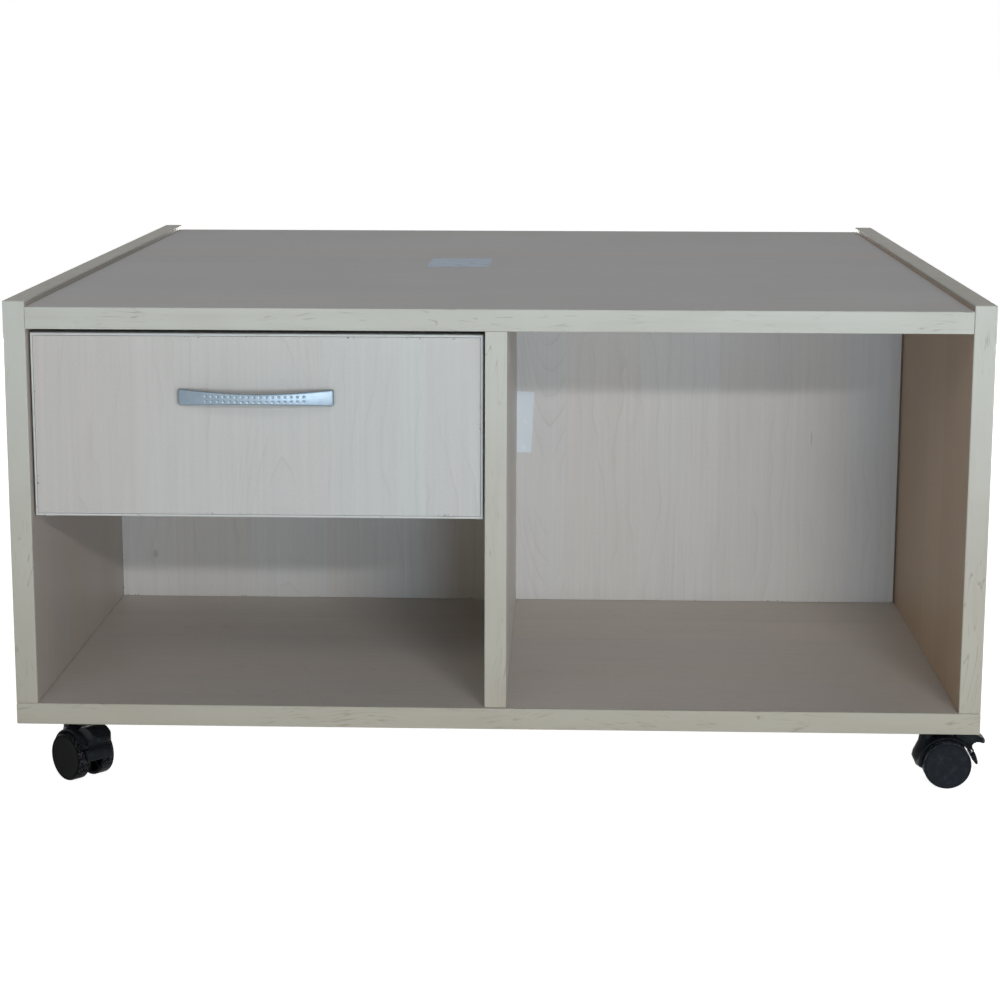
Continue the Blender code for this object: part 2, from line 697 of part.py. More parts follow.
def handle_bow():
    """The bow itself, lofted through its sections."""
    half = HANDLE_LENGTH / 2
    inner = half - HANDLE_CORNER
    places = [-inner + 2 * inner * i / HANDLE_STATIONS for i in range(HANDLE_STATIONS + 1)]
    sections = [handle_section(x, 0) for x in places]
    sections.insert(0, handle_section(-half, HANDLE_CORNER))
    sections.append(handle_section(half, HANDLE_CORNER))
    bm = bmesh.new()
    rings = [[bm.verts.new(point) for point in section] for section in sections]
    for before, after in zip(rings, rings[1:]):
        for i, corner in enumerate(before):
            j = (i + 1) % len(before)
            bm.faces.new((corner, before[j], after[j], after[i]))
    bm.faces.new(rings[0])
    bm.faces.new(rings[-1])
    return add_object("drawer_handle", mesh_from(bm, "drawer_handle"), "handle_metal")


def dimple_balls():
    """Two rows of balls that press the dimples into the handle's front face."""
    chord = DIMPLE_DIAMETER / 2
    radius = (chord**2 + DIMPLE_DEPTH**2) / (2 * DIMPLE_DEPTH)
    bm = bmesh.new()
    for column in range(DIMPLES_IN_ROW):
        x = (column - (DIMPLES_IN_ROW - 1) / 2) * DIMPLE_PITCH
        slope = 2 * x * (HANDLE_MIDDLE_REACH - HANDLE_END_REACH) / (HANDLE_LENGTH / 2) ** 2
        for row in (-1, 1):
            up = row * DIMPLE_ROW_SPACING / 2
            crown = HANDLE_CROWN * (1 - abs(up) / (handle_half_height(x) - HANDLE_EDGE))
            surface = HANDLE_CENTRE + Vector((x, -handle_reach(x) - crown, up))
            outward = Vector((slope, -1, 0)).normalized()
            centre = surface + outward * (radius - DIMPLE_DEPTH)
            turn = outward.to_track_quat("Z", "Y").to_matrix().to_4x4()
            place = Matrix.Translation(centre) @ turn
            bmesh.ops.create_uvsphere(
                bm, u_segments=TINY_STEPS, v_segments=DIMPLE_RINGS, radius=radius, matrix=place
            )
    return add_object("handle_dimples", mesh_from(bm, "handle_dimples"))


def handle(slide):
    """The dimpled bow handle on its two bosses, and the screws that hold it."""
    bow = handle_bow()
    bosses, bores = [], []
    for label, x in handle_feet():
        reach = handle_reach(HANDLE_SCREW_SPACING / 2)
        seat = FRONT_FACE - SEAT
        bosses.append(
            cylinder(
                f"handle_boss_{label}",
                HANDLE_BOSS_DIAMETER / 2,
                (x, seat, HANDLE_CENTRE.z),
                (x, FRONT_FACE - reach + HANDLE_THICKNESS / 2, HANDLE_CENTRE.z),
                SMALL_STEPS,
            )
        )
        bores.append(
            cylinder(
                f"handle_bore_{label}",
                SCREW_DIAMETER / 2 + SEAT,
                (x, seat + OVERRUN, HANDLE_CENTRE.z),
                (x, FRONT_FACE - SCREW_BITE - SEAT, HANDLE_CENTRE.z),
                TINY_STEPS,
            )
        )
        profile = [
            (0, SCREW_HEAD_HEIGHT),
            (SCREW_HEAD_DIAMETER / 2 - SCREW_HEAD_HEIGHT / 2, SCREW_HEAD_HEIGHT),
            (SCREW_HEAD_DIAMETER / 2, SCREW_HEAD_HEIGHT / 2),
            (SCREW_HEAD_DIAMETER / 2, SEAT),
            (SCREW_DIAMETER / 2, SEAT),
            (SCREW_DIAMETER / 2, -BOARD - SCREW_BITE),
            (0, -BOARD - SCREW_BITE),
        ]
        screw = turned(f"handle_screw_{label}", profile, TINY_STEPS, "zinc_steel", slide)
        screw.location = (x, FRONT_BACK, HANDLE_CENTRE.z)
        screw.rotation_euler.x = -QUARTER_TURN
    join(bow, *bosses)
    cut(bow, dimple_balls(), *bores)
    mesh = settle(bow)
    add_object("drawer_handle", mesh, "handle_metal", slide)


# Runners


def roller_mesh():
    radius, half = ROLLER_DIAMETER / 2, ROLLER_WIDTH / 2
    bore = PIN_DIAMETER / 2 + PIN_CLEARANCE
    profile = [
        (bore, half),
        (radius - ROLLER_CHAMFER, half),
        (radius, half - ROLLER_CHAMFER),
        (radius, -half + ROLLER_CHAMFER),
        (radius - ROLLER_CHAMFER, -half),
        (bore, -half),
    ]
    return settle(turned("roller", profile, ROUND_STEPS, "roller_nylon", ring=True))


def place_roller(name, mesh, place, parent=None):
    made = add_object(name, mesh, "roller_nylon", parent)
    made.location = place
    made.rotation_euler.y = QUARTER_TURN


def cabinet_member(name, wall, inward, roller):
    """The fixed half of a runner: a folded track with a lip, and the pin of the front roller."""
    frame = side_frame(wall, inward)
    face, back = SEAT + SHEET, SEAT
    track_low, lip_top = TRACK_TOP - SHEET, LIP_UNDERSIDE + SHEET
    section = (
        (back, track_low),
        (face + TRACK_WIDTH, track_low),
        (face + TRACK_WIDTH, TRACK_TOP),
        (face, TRACK_TOP),
        (face, LIP_UNDERSIDE),
        (face + LIP_WIDTH, LIP_UNDERSIDE),
        (face + LIP_WIDTH, lip_top),
        (back, lip_top),
    )
    along_y = frame @ Matrix(((0, 0, 1, 0), (0, 1, 0, 0), (1, 0, 0, 0), (0, 0, 0, 1)))
    member = prism(name, section, FRONT_ROLLER.y + TRACK_START, DRAWER_REAR, along_y, "runner_steel")
    lug = ROLLER_LUG_DIAMETER / 2
    rear = FRONT_ROLLER.y + TRACK_START + OVERRUN
    round_foot = arc(lug, math.pi, 2 * math.pi, ARC_POINTS, (FRONT_ROLLER.y, FRONT_ROLLER.z))
    nose = [*round_foot, (rear, track_low), (rear, lip_top), (FRONT_ROLLER.y - lug, lip_top)]
    plate = prism(f"{name}_nose", nose, back, face, frame)
    roller_near = roller - ROLLER_WIDTH / 2
    roller_far = roller + ROLLER_WIDTH / 2
    collar = cylinder(
        f"{name}_collar",
        PIN_HEAD_DIAMETER / 2,
        frame @ Vector((FRONT_ROLLER.y, FRONT_ROLLER.z, back + SHEET / 2)),
        frame @ Vector((FRONT_ROLLER.y, FRONT_ROLLER.z, roller_near - PIN_CLEARANCE)),
        SMALL_STEPS,
    )
    pin = cylinder(
        f"{name}_pin",
        PIN_DIAMETER / 2,
        frame @ Vector((FRONT_ROLLER.y, FRONT_ROLLER.z, back + SHEET / 2)),
        frame @ Vector((FRONT_ROLLER.y, FRONT_ROLLER.z, roller_far + PIN_CLEARANCE + PIN_HEAD / 2)),
        SMALL_STEPS,
    )
    head = cylinder(
        f"{name}_pin_head",
        PIN_HEAD_DIAMETER / 2,
        frame @ Vector((FRONT_ROLLER.y, FRONT_ROLLER.z, roller_far + PIN_CLEARANCE)),
        frame @ Vector((FRONT_ROLLER.y, FRONT_ROLLER.z, roller_far + PIN_CLEARANCE + PIN_HEAD)),
        SMALL_STEPS,
    )
    join(member, plate, collar, pin, head)


def drawer_member(name, wall, inward, roller, slide):
    """The drawer's half of a runner: an angle under the drawer's side, a flange and the rear roller's pin."""
    frame = side_frame(wall, inward)
    leg_back = RUNNER_SPACE - SEAT
    leg_face = leg_back - SHEET
    low, high = FLANGE_UNDERSIDE, FLANGE_UNDERSIDE + SHEET
    section = (
        (leg_face, low),
        (RUNNER_SPACE + DRAWER_SIDE, low),
        (RUNNER_SPACE + DRAWER_SIDE, high),
        (leg_back, high),
        (leg_back, low + DRAWER_LEG_HEIGHT),
        (leg_face, low + DRAWER_LEG_HEIGHT),
    )
    along_y = frame @ Matrix(((0, 0, 1, 0), (0, 1, 0, 0), (1, 0, 0, 0), (0, 0, 0, 1)))
    start = FRONT_BACK + SEAT
    member = prism(name, section, start, DRAWER_REAR, along_y, "runner_steel", slide)
    flange_end = REAR_ROLLER.y - FLANGE_END
    flange_section = (
        (leg_face - DRAWER_FLANGE_WIDTH, low),
        (leg_back - SHEET / 2, low),
        (leg_back - SHEET / 2, high),
        (leg_face - DRAWER_FLANGE_WIDTH, high),
    )
    flange = prism(f"{name}_flange", flange_section, start, flange_end, along_y)
    roller_near = roller - ROLLER_WIDTH / 2
    roller_far = roller + ROLLER_WIDTH / 2
    places = (
        ("collar", PIN_HEAD_DIAMETER, leg_back - SHEET / 2, roller_far + PIN_CLEARANCE),
        ("pin", PIN_DIAMETER, leg_back - SHEET / 2, roller_near - PIN_CLEARANCE - PIN_HEAD / 2),
        ("head", PIN_HEAD_DIAMETER, roller_near - PIN_CLEARANCE, roller_near - PIN_CLEARANCE - PIN_HEAD),
    )
    solids = [
        cylinder(
            f"{name}_{label}",
            diameter / 2,
            frame @ Vector((REAR_ROLLER.y, REAR_ROLLER.z, start_at)),
            frame @ Vector((REAR_ROLLER.y, REAR_ROLLER.z, end_at)),
            SMALL_STEPS,
        )
        for label, diameter, start_at, end_at in places
    ]
    join(member, flange, *solids)


def runners(slide):
    """A pair of roller runners: the front rollers are fixed to the carcass, the rear ones to the drawer."""
    mesh = roller_mesh()
    web_face = SEAT + SHEET
    front_middle = web_face + ROLLER_SIDE_CLEARANCE + ROLLER_WIDTH / 2
    rear_middle = RUNNER_SPACE - SEAT - SHEET - 2 * ROLLER_SIDE_CLEARANCE - ROLLER_WIDTH / 2
    for label, wall, inward in (("left", BAY_LEFT, 1), ("right", BAY_RIGHT, -1)):
        cabinet_member(f"cabinet_runner_{label}", wall, inward, front_middle)
        drawer_member(f"drawer_runner_{label}", wall, inward, rear_middle, slide)
        front = FRONT_ROLLER + Vector((wall + inward * front_middle, 0, 0))
        rear = REAR_ROLLER + Vector((wall + inward * rear_middle, 0, 0))
        place_roller(f"front_roller_{label}", mesh, front)
        place_roller(f"rear_roller_{label}", mesh, rear, slide)


# Castors, each piece in the castor's own frame


def upright():
    """The matrix that stands an (x, z) outline up, its thickness along the axle."""
    return Matrix.Translation((CASTOR_TRAIL, 0, AXLE_HEIGHT)) @ Matrix.Rotation(QUARTER_TURN, 4, "X")


def on_axle(made):
    """Lays a turned piece on the axle's line."""
    made.location = (CASTOR_TRAIL, 0, AXLE_HEIGHT)
    made.rotation_euler.x = QUARTER_TURN
    return made


def wheel_mesh():
    """One wheel, its outer face up: a dished disc with a rounded tread, hollow behind, on a hub."""
    radius, half = WHEEL_DIAMETER / 2, WHEEL_WIDTH / 2
    bore = AXLE_DIAMETER / 2 + SEAT
    hub = WHEEL_HUB_DIAMETER / 2
    inside = radius - WHEEL_RIM
    profile = [
        (0, half - WHEEL_DISH),
        (inside, half),
        (radius - WHEEL_ROUND, half),
        (radius, half - WHEEL_ROUND),
        (radius, -half),
        (inside, -half),
        (inside, half - WHEEL_WALL),
        (hub, half - WHEEL_WALL),
        (hub, -half),
        (bore, -half),
        (bore, AXLE_BITE - half),
        (0, AXLE_BITE - half),
    ]
    return settle(turned("wheel", profile, ROUND_STEPS, "wheel_nylon"))


def socket_profile():
    """The swivel socket's outline: a narrow neck that swells above the axle and draws in at its foot."""
    neck, widest, foot = SOCKET_NECK_DIAMETER / 2, SOCKET_WIDEST_DIAMETER / 2, SOCKET_FOOT_DIAMETER / 2
    swell = []
    for i in range(5):
        turn = math.pi * i / 4
        blend = (1 - math.cos(turn)) / 2
        height = SOCKET_NECK_HEIGHT + (SOCKET_WIDEST_HEIGHT - SOCKET_NECK_HEIGHT) * i / 4
        swell.append((neck + (widest - neck) * blend, height))
    waist_share = 0.5
    below = (
        foot + (widest - foot) * waist_share,
        SOCKET_FOOT_HEIGHT + (SOCKET_WIDEST_HEIGHT - SOCKET_FOOT_HEIGHT) * (1 - waist_share) * waist_share,
    )
    top = [(0, SOCKET_TOP), (neck, SOCKET_TOP)]
    return [*top, *swell, below, (foot, SOCKET_FOOT_HEIGHT), (0, SOCKET_FOOT_HEIGHT)]


def hood_drum():
    """The hood's outer form as a full crowned drum on the axle, before its lower part is cut off."""
    half = HOOD_WIDTH / 2
    crown = [(HOOD_RADIUS + HOOD_CROWN * (1 - (i / 2) ** 2), -half * i / 2) for i in (-2, -1, 0, 1, 2)]
    return on_axle(turned("hood_drum", [(0, half), *crown, (0, -half)], HOOD_STEPS))


def beyond(angle, radius):
    return (radius * math.cos(angle), radius * math.sin(angle))


def housing_mesh(braked):
    """The moulded housing: hood, web between the wheels, swivel socket and, with a brake, two lugs."""
    trailing = HOOD_CHEEK_ANGLE if braked else HOOD_TRAILING_ANGLE
    reach = 2 * WHEEL_DIAMETER
    wedge = [
        (0, -AXLE_DIAMETER / 5),
        beyond(HOOD_LEADING_ANGLE, reach),
        (-reach, -reach),
        (reach, -reach),
        beyond(trailing, reach),
    ]
    hood = hood_drum()
    lower = prism("hood_lower", wedge, -HOOD_WIDTH, HOOD_WIDTH, upright())
    socket = turned("hood_socket", socket_profile(), ROUND_STEPS)
    pockets = []
    for side in (-1, 1):
        near, far = sorted((side * WEB_WIDTH / 2, side * HOOD_WIDTH))
        pocket = cylinder(
            f"hood_pocket_{side}",
            POCKET_RADIUS,
            (CASTOR_TRAIL, near, AXLE_HEIGHT),
            (CASTOR_TRAIL, far, AXLE_HEIGHT),
            HOOD_STEPS,
        )
        pockets.append(pocket)
    boss = cylinder(
        "hood_axle_boss",
        AXLE_BOSS_DIAMETER / 2,
        (CASTOR_TRAIL, -WEB_WIDTH / 2 + HOOD_STEP, AXLE_HEIGHT),
        (CASTOR_TRAIL, WEB_WIDTH / 2 - HOOD_STEP, AXLE_HEIGHT),
        SMALL_STEPS,
    )
    axle_bore = cylinder(
        "hood_axle_bore",
        AXLE_DIAMETER / 2 + SEAT,
        (CASTOR_TRAIL, -WEB_WIDTH, AXLE_HEIGHT),
        (CASTOR_TRAIL, WEB_WIDTH, AXLE_HEIGHT),
        TINY_STEPS,
    )
    cut(hood, lower, solver=MOULDED)
    join(hood, socket, solver=MOULDED)
    if braked:
        join(hood, lever_lugs(), solver=MOULDED)
    cut(hood, *pockets, solver=MOULDED)
    join(hood, boss, solver=MOULDED)
    if braked:
        cut(hood, lever_opening(), lever_bore(), solver=MOULDED)
    pin_bore = cylinder(
        "hood_pin_bore",
        KINGPIN_DIAMETER / 2 + SEAT,
        (0, 0, PLATE_UNDERSIDE - KINGPIN_LENGTH - SEAT),
        (0, 0, SOCKET_TOP + OVERRUN),
        SMALL_STEPS,
    )
    cut(hood, axle_bore, pin_bore, solver=MOULDED)
    hood.name = "castor_housing_braked" if braked else "castor_housing"
    return settle(hood)


def lever_pivot():
    """The lever's pivot in side view, from the axle."""
    return beyond(LEVER_PIVOT_ANGLE, LEVER_PIVOT_RADIUS)


def lever_opening():
    """The part of the hood and web that makes room for the lever, and for its swing."""
    reach = 2 * WHEEL_DIAMETER
    inner = POCKET_RADIUS - HOOD_STEP
    web = AXLE_BOSS_DIAMETER
    outline = [
        *arc(inner, OPENING_TOP_ANGLE, OPENING_LOW_ANGLE, ARC_POINTS),
        beyond(OPENING_FLOOR_ANGLE, web + AXLE_BOSS_DIAMETER / 2),
        beyond(0, web + AXLE_BOSS_DIAMETER / 4),
        (reach, 0),
        (reach, reach),
        beyond(OPENING_TOP_ANGLE, reach),
    ]
    half = LEVER_WIDTH / 2 + LEVER_CLEARANCE
    return prism("hood_lever_opening", outline, -half, half, upright())


def lever_lugs():
    """The bar that leaves two lugs for the lever's trunnions, once the opening is cut between them."""
    x, z = lever_pivot()
    outer = HOOD_WIDTH / 2 - HOOD_STEP
    return cylinder(
        "hood_lugs",
        LEVER_LUG_DIAMETER / 2,
        (CASTOR_TRAIL + x, -outer, AXLE_HEIGHT + z),
        (CASTOR_TRAIL + x, outer, AXLE_HEIGHT + z),
        SMALL_STEPS,
    )


def lever_bore():
    """The cutter for the trunnions' blind holes in the lugs."""
    x, z = lever_pivot()
    outer = LEVER_WIDTH / 2 + LEVER_PIN_REACH + SEAT
    return cylinder(
        "hood_lug_bore",
        LEVER_PIN_DIAMETER / 2 + SEAT,
        (CASTOR_TRAIL + x, -outer, AXLE_HEIGHT + z),
        (CASTOR_TRAIL + x, outer, AXLE_HEIGHT + z),
        TINY_STEPS,
    )


def shares_of_wheel(shares):
    """Points of a side view given as shares of the wheel's radius, from the axle."""
    scale = WHEEL_DIAMETER / 2
    return [(x * scale, z * scale) for x, z in shares]


def lever_outline():
    """The lever between its lugs in side view: a humped back, a horn, and a neck that ends in the shield."""
    shares = (
        (0.60, 1.36),
        (0.85, 1.38),
        (1.10, 1.32),
        (1.325, 1.19),
        (1.50, 1.09),
        (1.60, 1.01),
        (1.65, 0.91),
        (1.64, 0.85),
        (1.58, 0.825),
        (1.49, 0.86),
        (1.38, 0.91),
        (1.24, 0.92),
        (1.115, 0.86),
        (1.055, 0.76),
        (1.085, 0.64),
        (1.15, 0.48),
        (1.17, 0.35),
        (1.13, 0.27),
    )
    inner = arc(LEVER_INNER_RADIUS + HOOD_STEP, LEVER_NECK_ANGLE, LEVER_HEEL_ANGLE, ARC_POINTS)
    return [*shares_of_wheel(shares), *inner, beyond(LEVER_CREST_ANGLE, HOOD_RADIUS + HOOD_CROWN)]


def shield_outline():
    """The lever's lower part in side view, before the treads and between the lugs and its drawn-out foot."""
    shares = (
        (1.165, 0.50),
        (1.225, 0.355),
        (1.285, 0.155),
        (1.295, 0.04),
        (1.26, -0.01),
        (1.21, 0.015),
        (1.16, 0.075),
        (1.11, 0.145),
    )
    return [*shares_of_wheel(shares), *arc(LEVER_INNER_RADIUS, SHIELD_FOOT_ANGLE, SHIELD_TOP_ANGLE, 3)]


def lever_bevel(lever):
    """Rounds the long edges of a piece of the lever."""
    bevel = lever.modifiers.new("Rounded edges", "BEVEL")
    bevel.width = LEVER_ROUND
    bevel.segments = 1
    bevel.limit_method = "ANGLE"
    bevel.angle_limit = LEVER_CORNER_ANGLE


def horn_corner(side):
    """The cutter that rounds one corner of the horn, seen from above, from the axle's upright plane."""
    half = LEVER_WIDTH / 2
    centre = (HORN_REACH - HORN_ROUND, side * (half - HORN_ROUND))
    outline = [
        *arc(HORN_ROUND, side * QUARTER_TURN, 0, ARC_POINTS, centre),
        (2 * HORN_REACH, centre[1]),
        (2 * HORN_REACH, side * LEVER_WIDTH),
        (centre[0], side * LEVER_WIDTH),
    ]
    return prism(f"lever_horn_corner_{side}", outline, -HORN_REACH, HORN_REACH)


def lever_mesh():
    """The brake lever with its shield and its two trunnions, its origin on their axis."""
    x, z = lever_pivot()
    stand = Matrix.Translation((-x, 0, -z)) @ Matrix.Rotation(QUARTER_TURN, 4, "X")
    half = LEVER_WIDTH / 2
    lever = prism("brake_lever_blank", lever_outline(), -half, half, stand)
    corners = [horn_corner(side) for side in (-1, 1)]
    for corner in corners:
        corner.location.x = -x
    cut(lever, *corners)
    lever_bevel(lever)
    shield = prism("brake_lever_shield", shield_outline(), -SHIELD_WIDTH / 2, SHIELD_WIDTH / 2, stand)
    lever_bevel(shield)
    pin = cylinder(
        "brake_lever_pin",
        LEVER_PIN_DIAMETER / 2,
        (0, -half - LEVER_PIN_REACH, 0),
        (0, half + LEVER_PIN_REACH, 0),
        TINY_STEPS,
    )
    join(lever, shield, pin)
    return settle(lever)


def plate_mesh():
    """The square mounting plate with its screw holes, the raised race and the kingpin riveted into it."""
    half = PLATE_SIZE / 2
    low, high = PLATE_UNDERSIDE, PLATE_UNDERSIDE + PLATE_THICKNESS
    plate = box("castor_plate", (-half, -half, low), (half, half, high))
    bm = bmesh.new()
    bm.from_mesh(plate.data)
    corners = [e for e in bm.edges if abs(e.verts[0].co.z - e.verts[1].co.z) > PLATE_THICKNESS / 2]
    bmesh.ops.bevel(bm, geom=corners, offset=PLATE_CORNER, segments=3, profile=0.5, affect="EDGES")
    bm.to_mesh(plate.data)
    bm.free()
    pin = KINGPIN_DIAMETER / 2
    race = RACE_DIAMETER / 2
    middle = low + PLATE_THICKNESS / 2
    foot = low - KINGPIN_LENGTH
    chamfer = KINGPIN_DIAMETER / 8
    profile = [
        (0, middle),
        (race, middle),
        (race, low - RACE_HEIGHT / 2),
        (race - RACE_HEIGHT / 2, low - RACE_HEIGHT),
        (pin, low - RACE_HEIGHT),
        (pin, foot + chamfer),
        (pin - chamfer, foot),
        (0, foot),
    ]
    kingpin = turned("castor_kingpin", profile, SMALL_STEPS)
    join(plate, kingpin)
    offset = PLATE_HOLE_SPACING / 2
    holes = [
        cylinder(
            f"castor_plate_hole_{x_side}_{y_side}",
            PLATE_HOLE_DIAMETER / 2,
            (x_side * offset, y_side * offset, low - OVERRUN),
            (x_side * offset, y_side * offset, high + OVERRUN),
            TINY_STEPS,
        )
        for x_side in (-1, 1)
        for y_side in (-1, 1)
    ]
    cut(plate, *holes)
    return settle(plate)


def axle_mesh():
    reach = WHEEL_SPACING / 2 - WHEEL_WIDTH / 2 + AXLE_BITE - SEAT
    axle = cylinder(
        "castor_axle", AXLE_DIAMETER / 2, (0, -reach, 0), (0, reach, 0), SMALL_STEPS
    )
    return settle(axle)


def castors():
    """The four castors: a fixed plate, and a swivelling housing with its axle, wheels and any lever."""
    plate, axle, wheel, lever = plate_mesh(), axle_mesh(), wheel_mesh(), lever_mesh()
    housings = {braked: housing_mesh(braked) for braked in (True, False)}
    pivot_x, pivot_z = lever_pivot()
    for name, x_side, y_side, turn, braked in CASTORS:
        place = Vector(
            (x_side * (TABLE_WIDTH / 2 - CASTOR_INSET), y_side * (TABLE_DEPTH / 2 - CASTOR_INSET), 0)
        )
        fixed = add_object(f"{name}_plate", plate, "plate_steel")
        fixed.location = place
        swivel = add_empty(f"{name}_swivel", place, turn)
        add_object(f"{name}_housing", housings[braked], "castor_nylon", swivel)
        bar = add_object(f"{name}_axle", axle, "zinc_steel", swivel)
        bar.location = (CASTOR_TRAIL, 0, AXLE_HEIGHT)
        for label, side in (("left", 1), ("right", -1)):
            tyre = add_object(f"{name}_wheel_{label}", wheel, "wheel_nylon", swivel)
            tyre.location = (CASTOR_TRAIL, side * WHEEL_SPACING / 2, AXLE_HEIGHT)
            tyre.rotation_euler.x = -side * QUARTER_TURN
        if braked:
            pedal = add_object(f"{name}_brake_lever", lever, "castor_nylon", swivel)
            pedal.location = (CASTOR_TRAIL + pivot_x, 0, AXLE_HEIGHT + pivot_z)


def build():
    bottom_board()
    top_board()
    side_board("left_side", -1)
    side_board("right_side", 1)
    partition()
    divider("front_divider", -1)
    divider("rear_divider", 1)
    slide = add_empty("drawer_slide", (0, 0, 0))
    drawer(slide)
    handle(slide)
    runners(slide)
    castors()


clear_scene()
TABLE = new_collection("coffee_table")
CUTTERS = new_collection("cutters")
build()
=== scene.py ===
"""Dresses the coffee table: printed boards, edging strips, moulded castors, a dimpled handle and fittings.

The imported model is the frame, in metres: +Z is up, the drawer's front faces -Y and the floor is at zero.
"""

import json
import logging
import math
import random
from collections.abc import Sequence
from dataclasses import dataclass, replace
from enum import Enum

import bmesh
import bpy
from mathutils import Matrix, Vector

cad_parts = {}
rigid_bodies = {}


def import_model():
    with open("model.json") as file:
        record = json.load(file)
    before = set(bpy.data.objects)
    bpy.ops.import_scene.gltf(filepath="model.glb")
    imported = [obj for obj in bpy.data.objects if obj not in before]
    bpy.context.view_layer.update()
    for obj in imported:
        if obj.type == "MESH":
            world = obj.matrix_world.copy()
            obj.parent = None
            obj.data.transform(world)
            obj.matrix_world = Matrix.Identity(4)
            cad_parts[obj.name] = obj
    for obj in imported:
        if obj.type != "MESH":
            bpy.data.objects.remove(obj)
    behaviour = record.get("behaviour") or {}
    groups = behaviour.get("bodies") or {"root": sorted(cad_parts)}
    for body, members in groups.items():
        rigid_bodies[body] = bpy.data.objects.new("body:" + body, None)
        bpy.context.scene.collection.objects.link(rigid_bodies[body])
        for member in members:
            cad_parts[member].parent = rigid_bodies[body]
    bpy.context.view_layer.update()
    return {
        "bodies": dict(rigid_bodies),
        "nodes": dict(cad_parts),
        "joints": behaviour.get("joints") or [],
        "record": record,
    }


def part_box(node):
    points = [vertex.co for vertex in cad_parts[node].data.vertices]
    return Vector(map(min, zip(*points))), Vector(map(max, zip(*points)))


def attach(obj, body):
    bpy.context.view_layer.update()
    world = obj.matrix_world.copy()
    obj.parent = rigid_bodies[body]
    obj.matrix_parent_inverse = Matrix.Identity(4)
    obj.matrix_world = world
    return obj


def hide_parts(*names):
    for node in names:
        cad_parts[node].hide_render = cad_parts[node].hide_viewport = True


LOG = logging.getLogger("coffee_table")
MM = 0.001
WELD_REACH = 0.002 * MM
FLAT_ANGLE = 1.0
SHARP_ANGLE = 35.0
QUARTER_TURN = math.pi / 2

Pair = tuple[float, float]
Point = tuple[float, float, float]
Colour = tuple[float, float, float]
Node = bpy.types.Node
Socket = bpy.types.NodeSocket
Tree = bpy.types.NodeTree
Material = bpy.types.Material
Mesh = bpy.types.Mesh
Thing = bpy.types.Object


class Grain(Enum):
    """The way a board's grain runs."""

    UPRIGHT = "upright"
    SIDEWAYS = "sideways"


class Bend(Enum):
    """How the growth lines of a plank run, as the share that carries it."""

    ARCHED_DOWN = 0.0
    STRAIGHT = 0.5
    ARCHED_UP = 1.0


class Run(Enum):
    """The way an edging strip runs, as the axes along it and across it."""

    LEVEL = ((1, 1, 0), (0, 0, 1))
    ROUND_SIDE = ((0, 1, 1), (1, 0, 0))
    UPRIGHT = ((0, 0, 1), (1, 0, 0))
    ROUND_FRONT = ((1, 0, 1), (0, 1, 0))


class Facing(Enum):
    """The way a screw's head faces."""

    DOWN = (0, 0, -1)
    LEFT = (-1, 0, 0)
    RIGHT = (1, 0, 0)


class Kind(Enum):
    """The kinds of socket that a node group has."""

    FLOAT = "NodeSocketFloat"
    COUNT = "NodeSocketInt"
    VECTOR = "NodeSocketVector"
    COLOUR = "NodeSocketColor"
    GEOMETRY = "NodeSocketGeometry"
    MATERIAL = "NodeSocketMaterial"


Titles = dict[Kind, tuple[str, ...]]


# Node trees


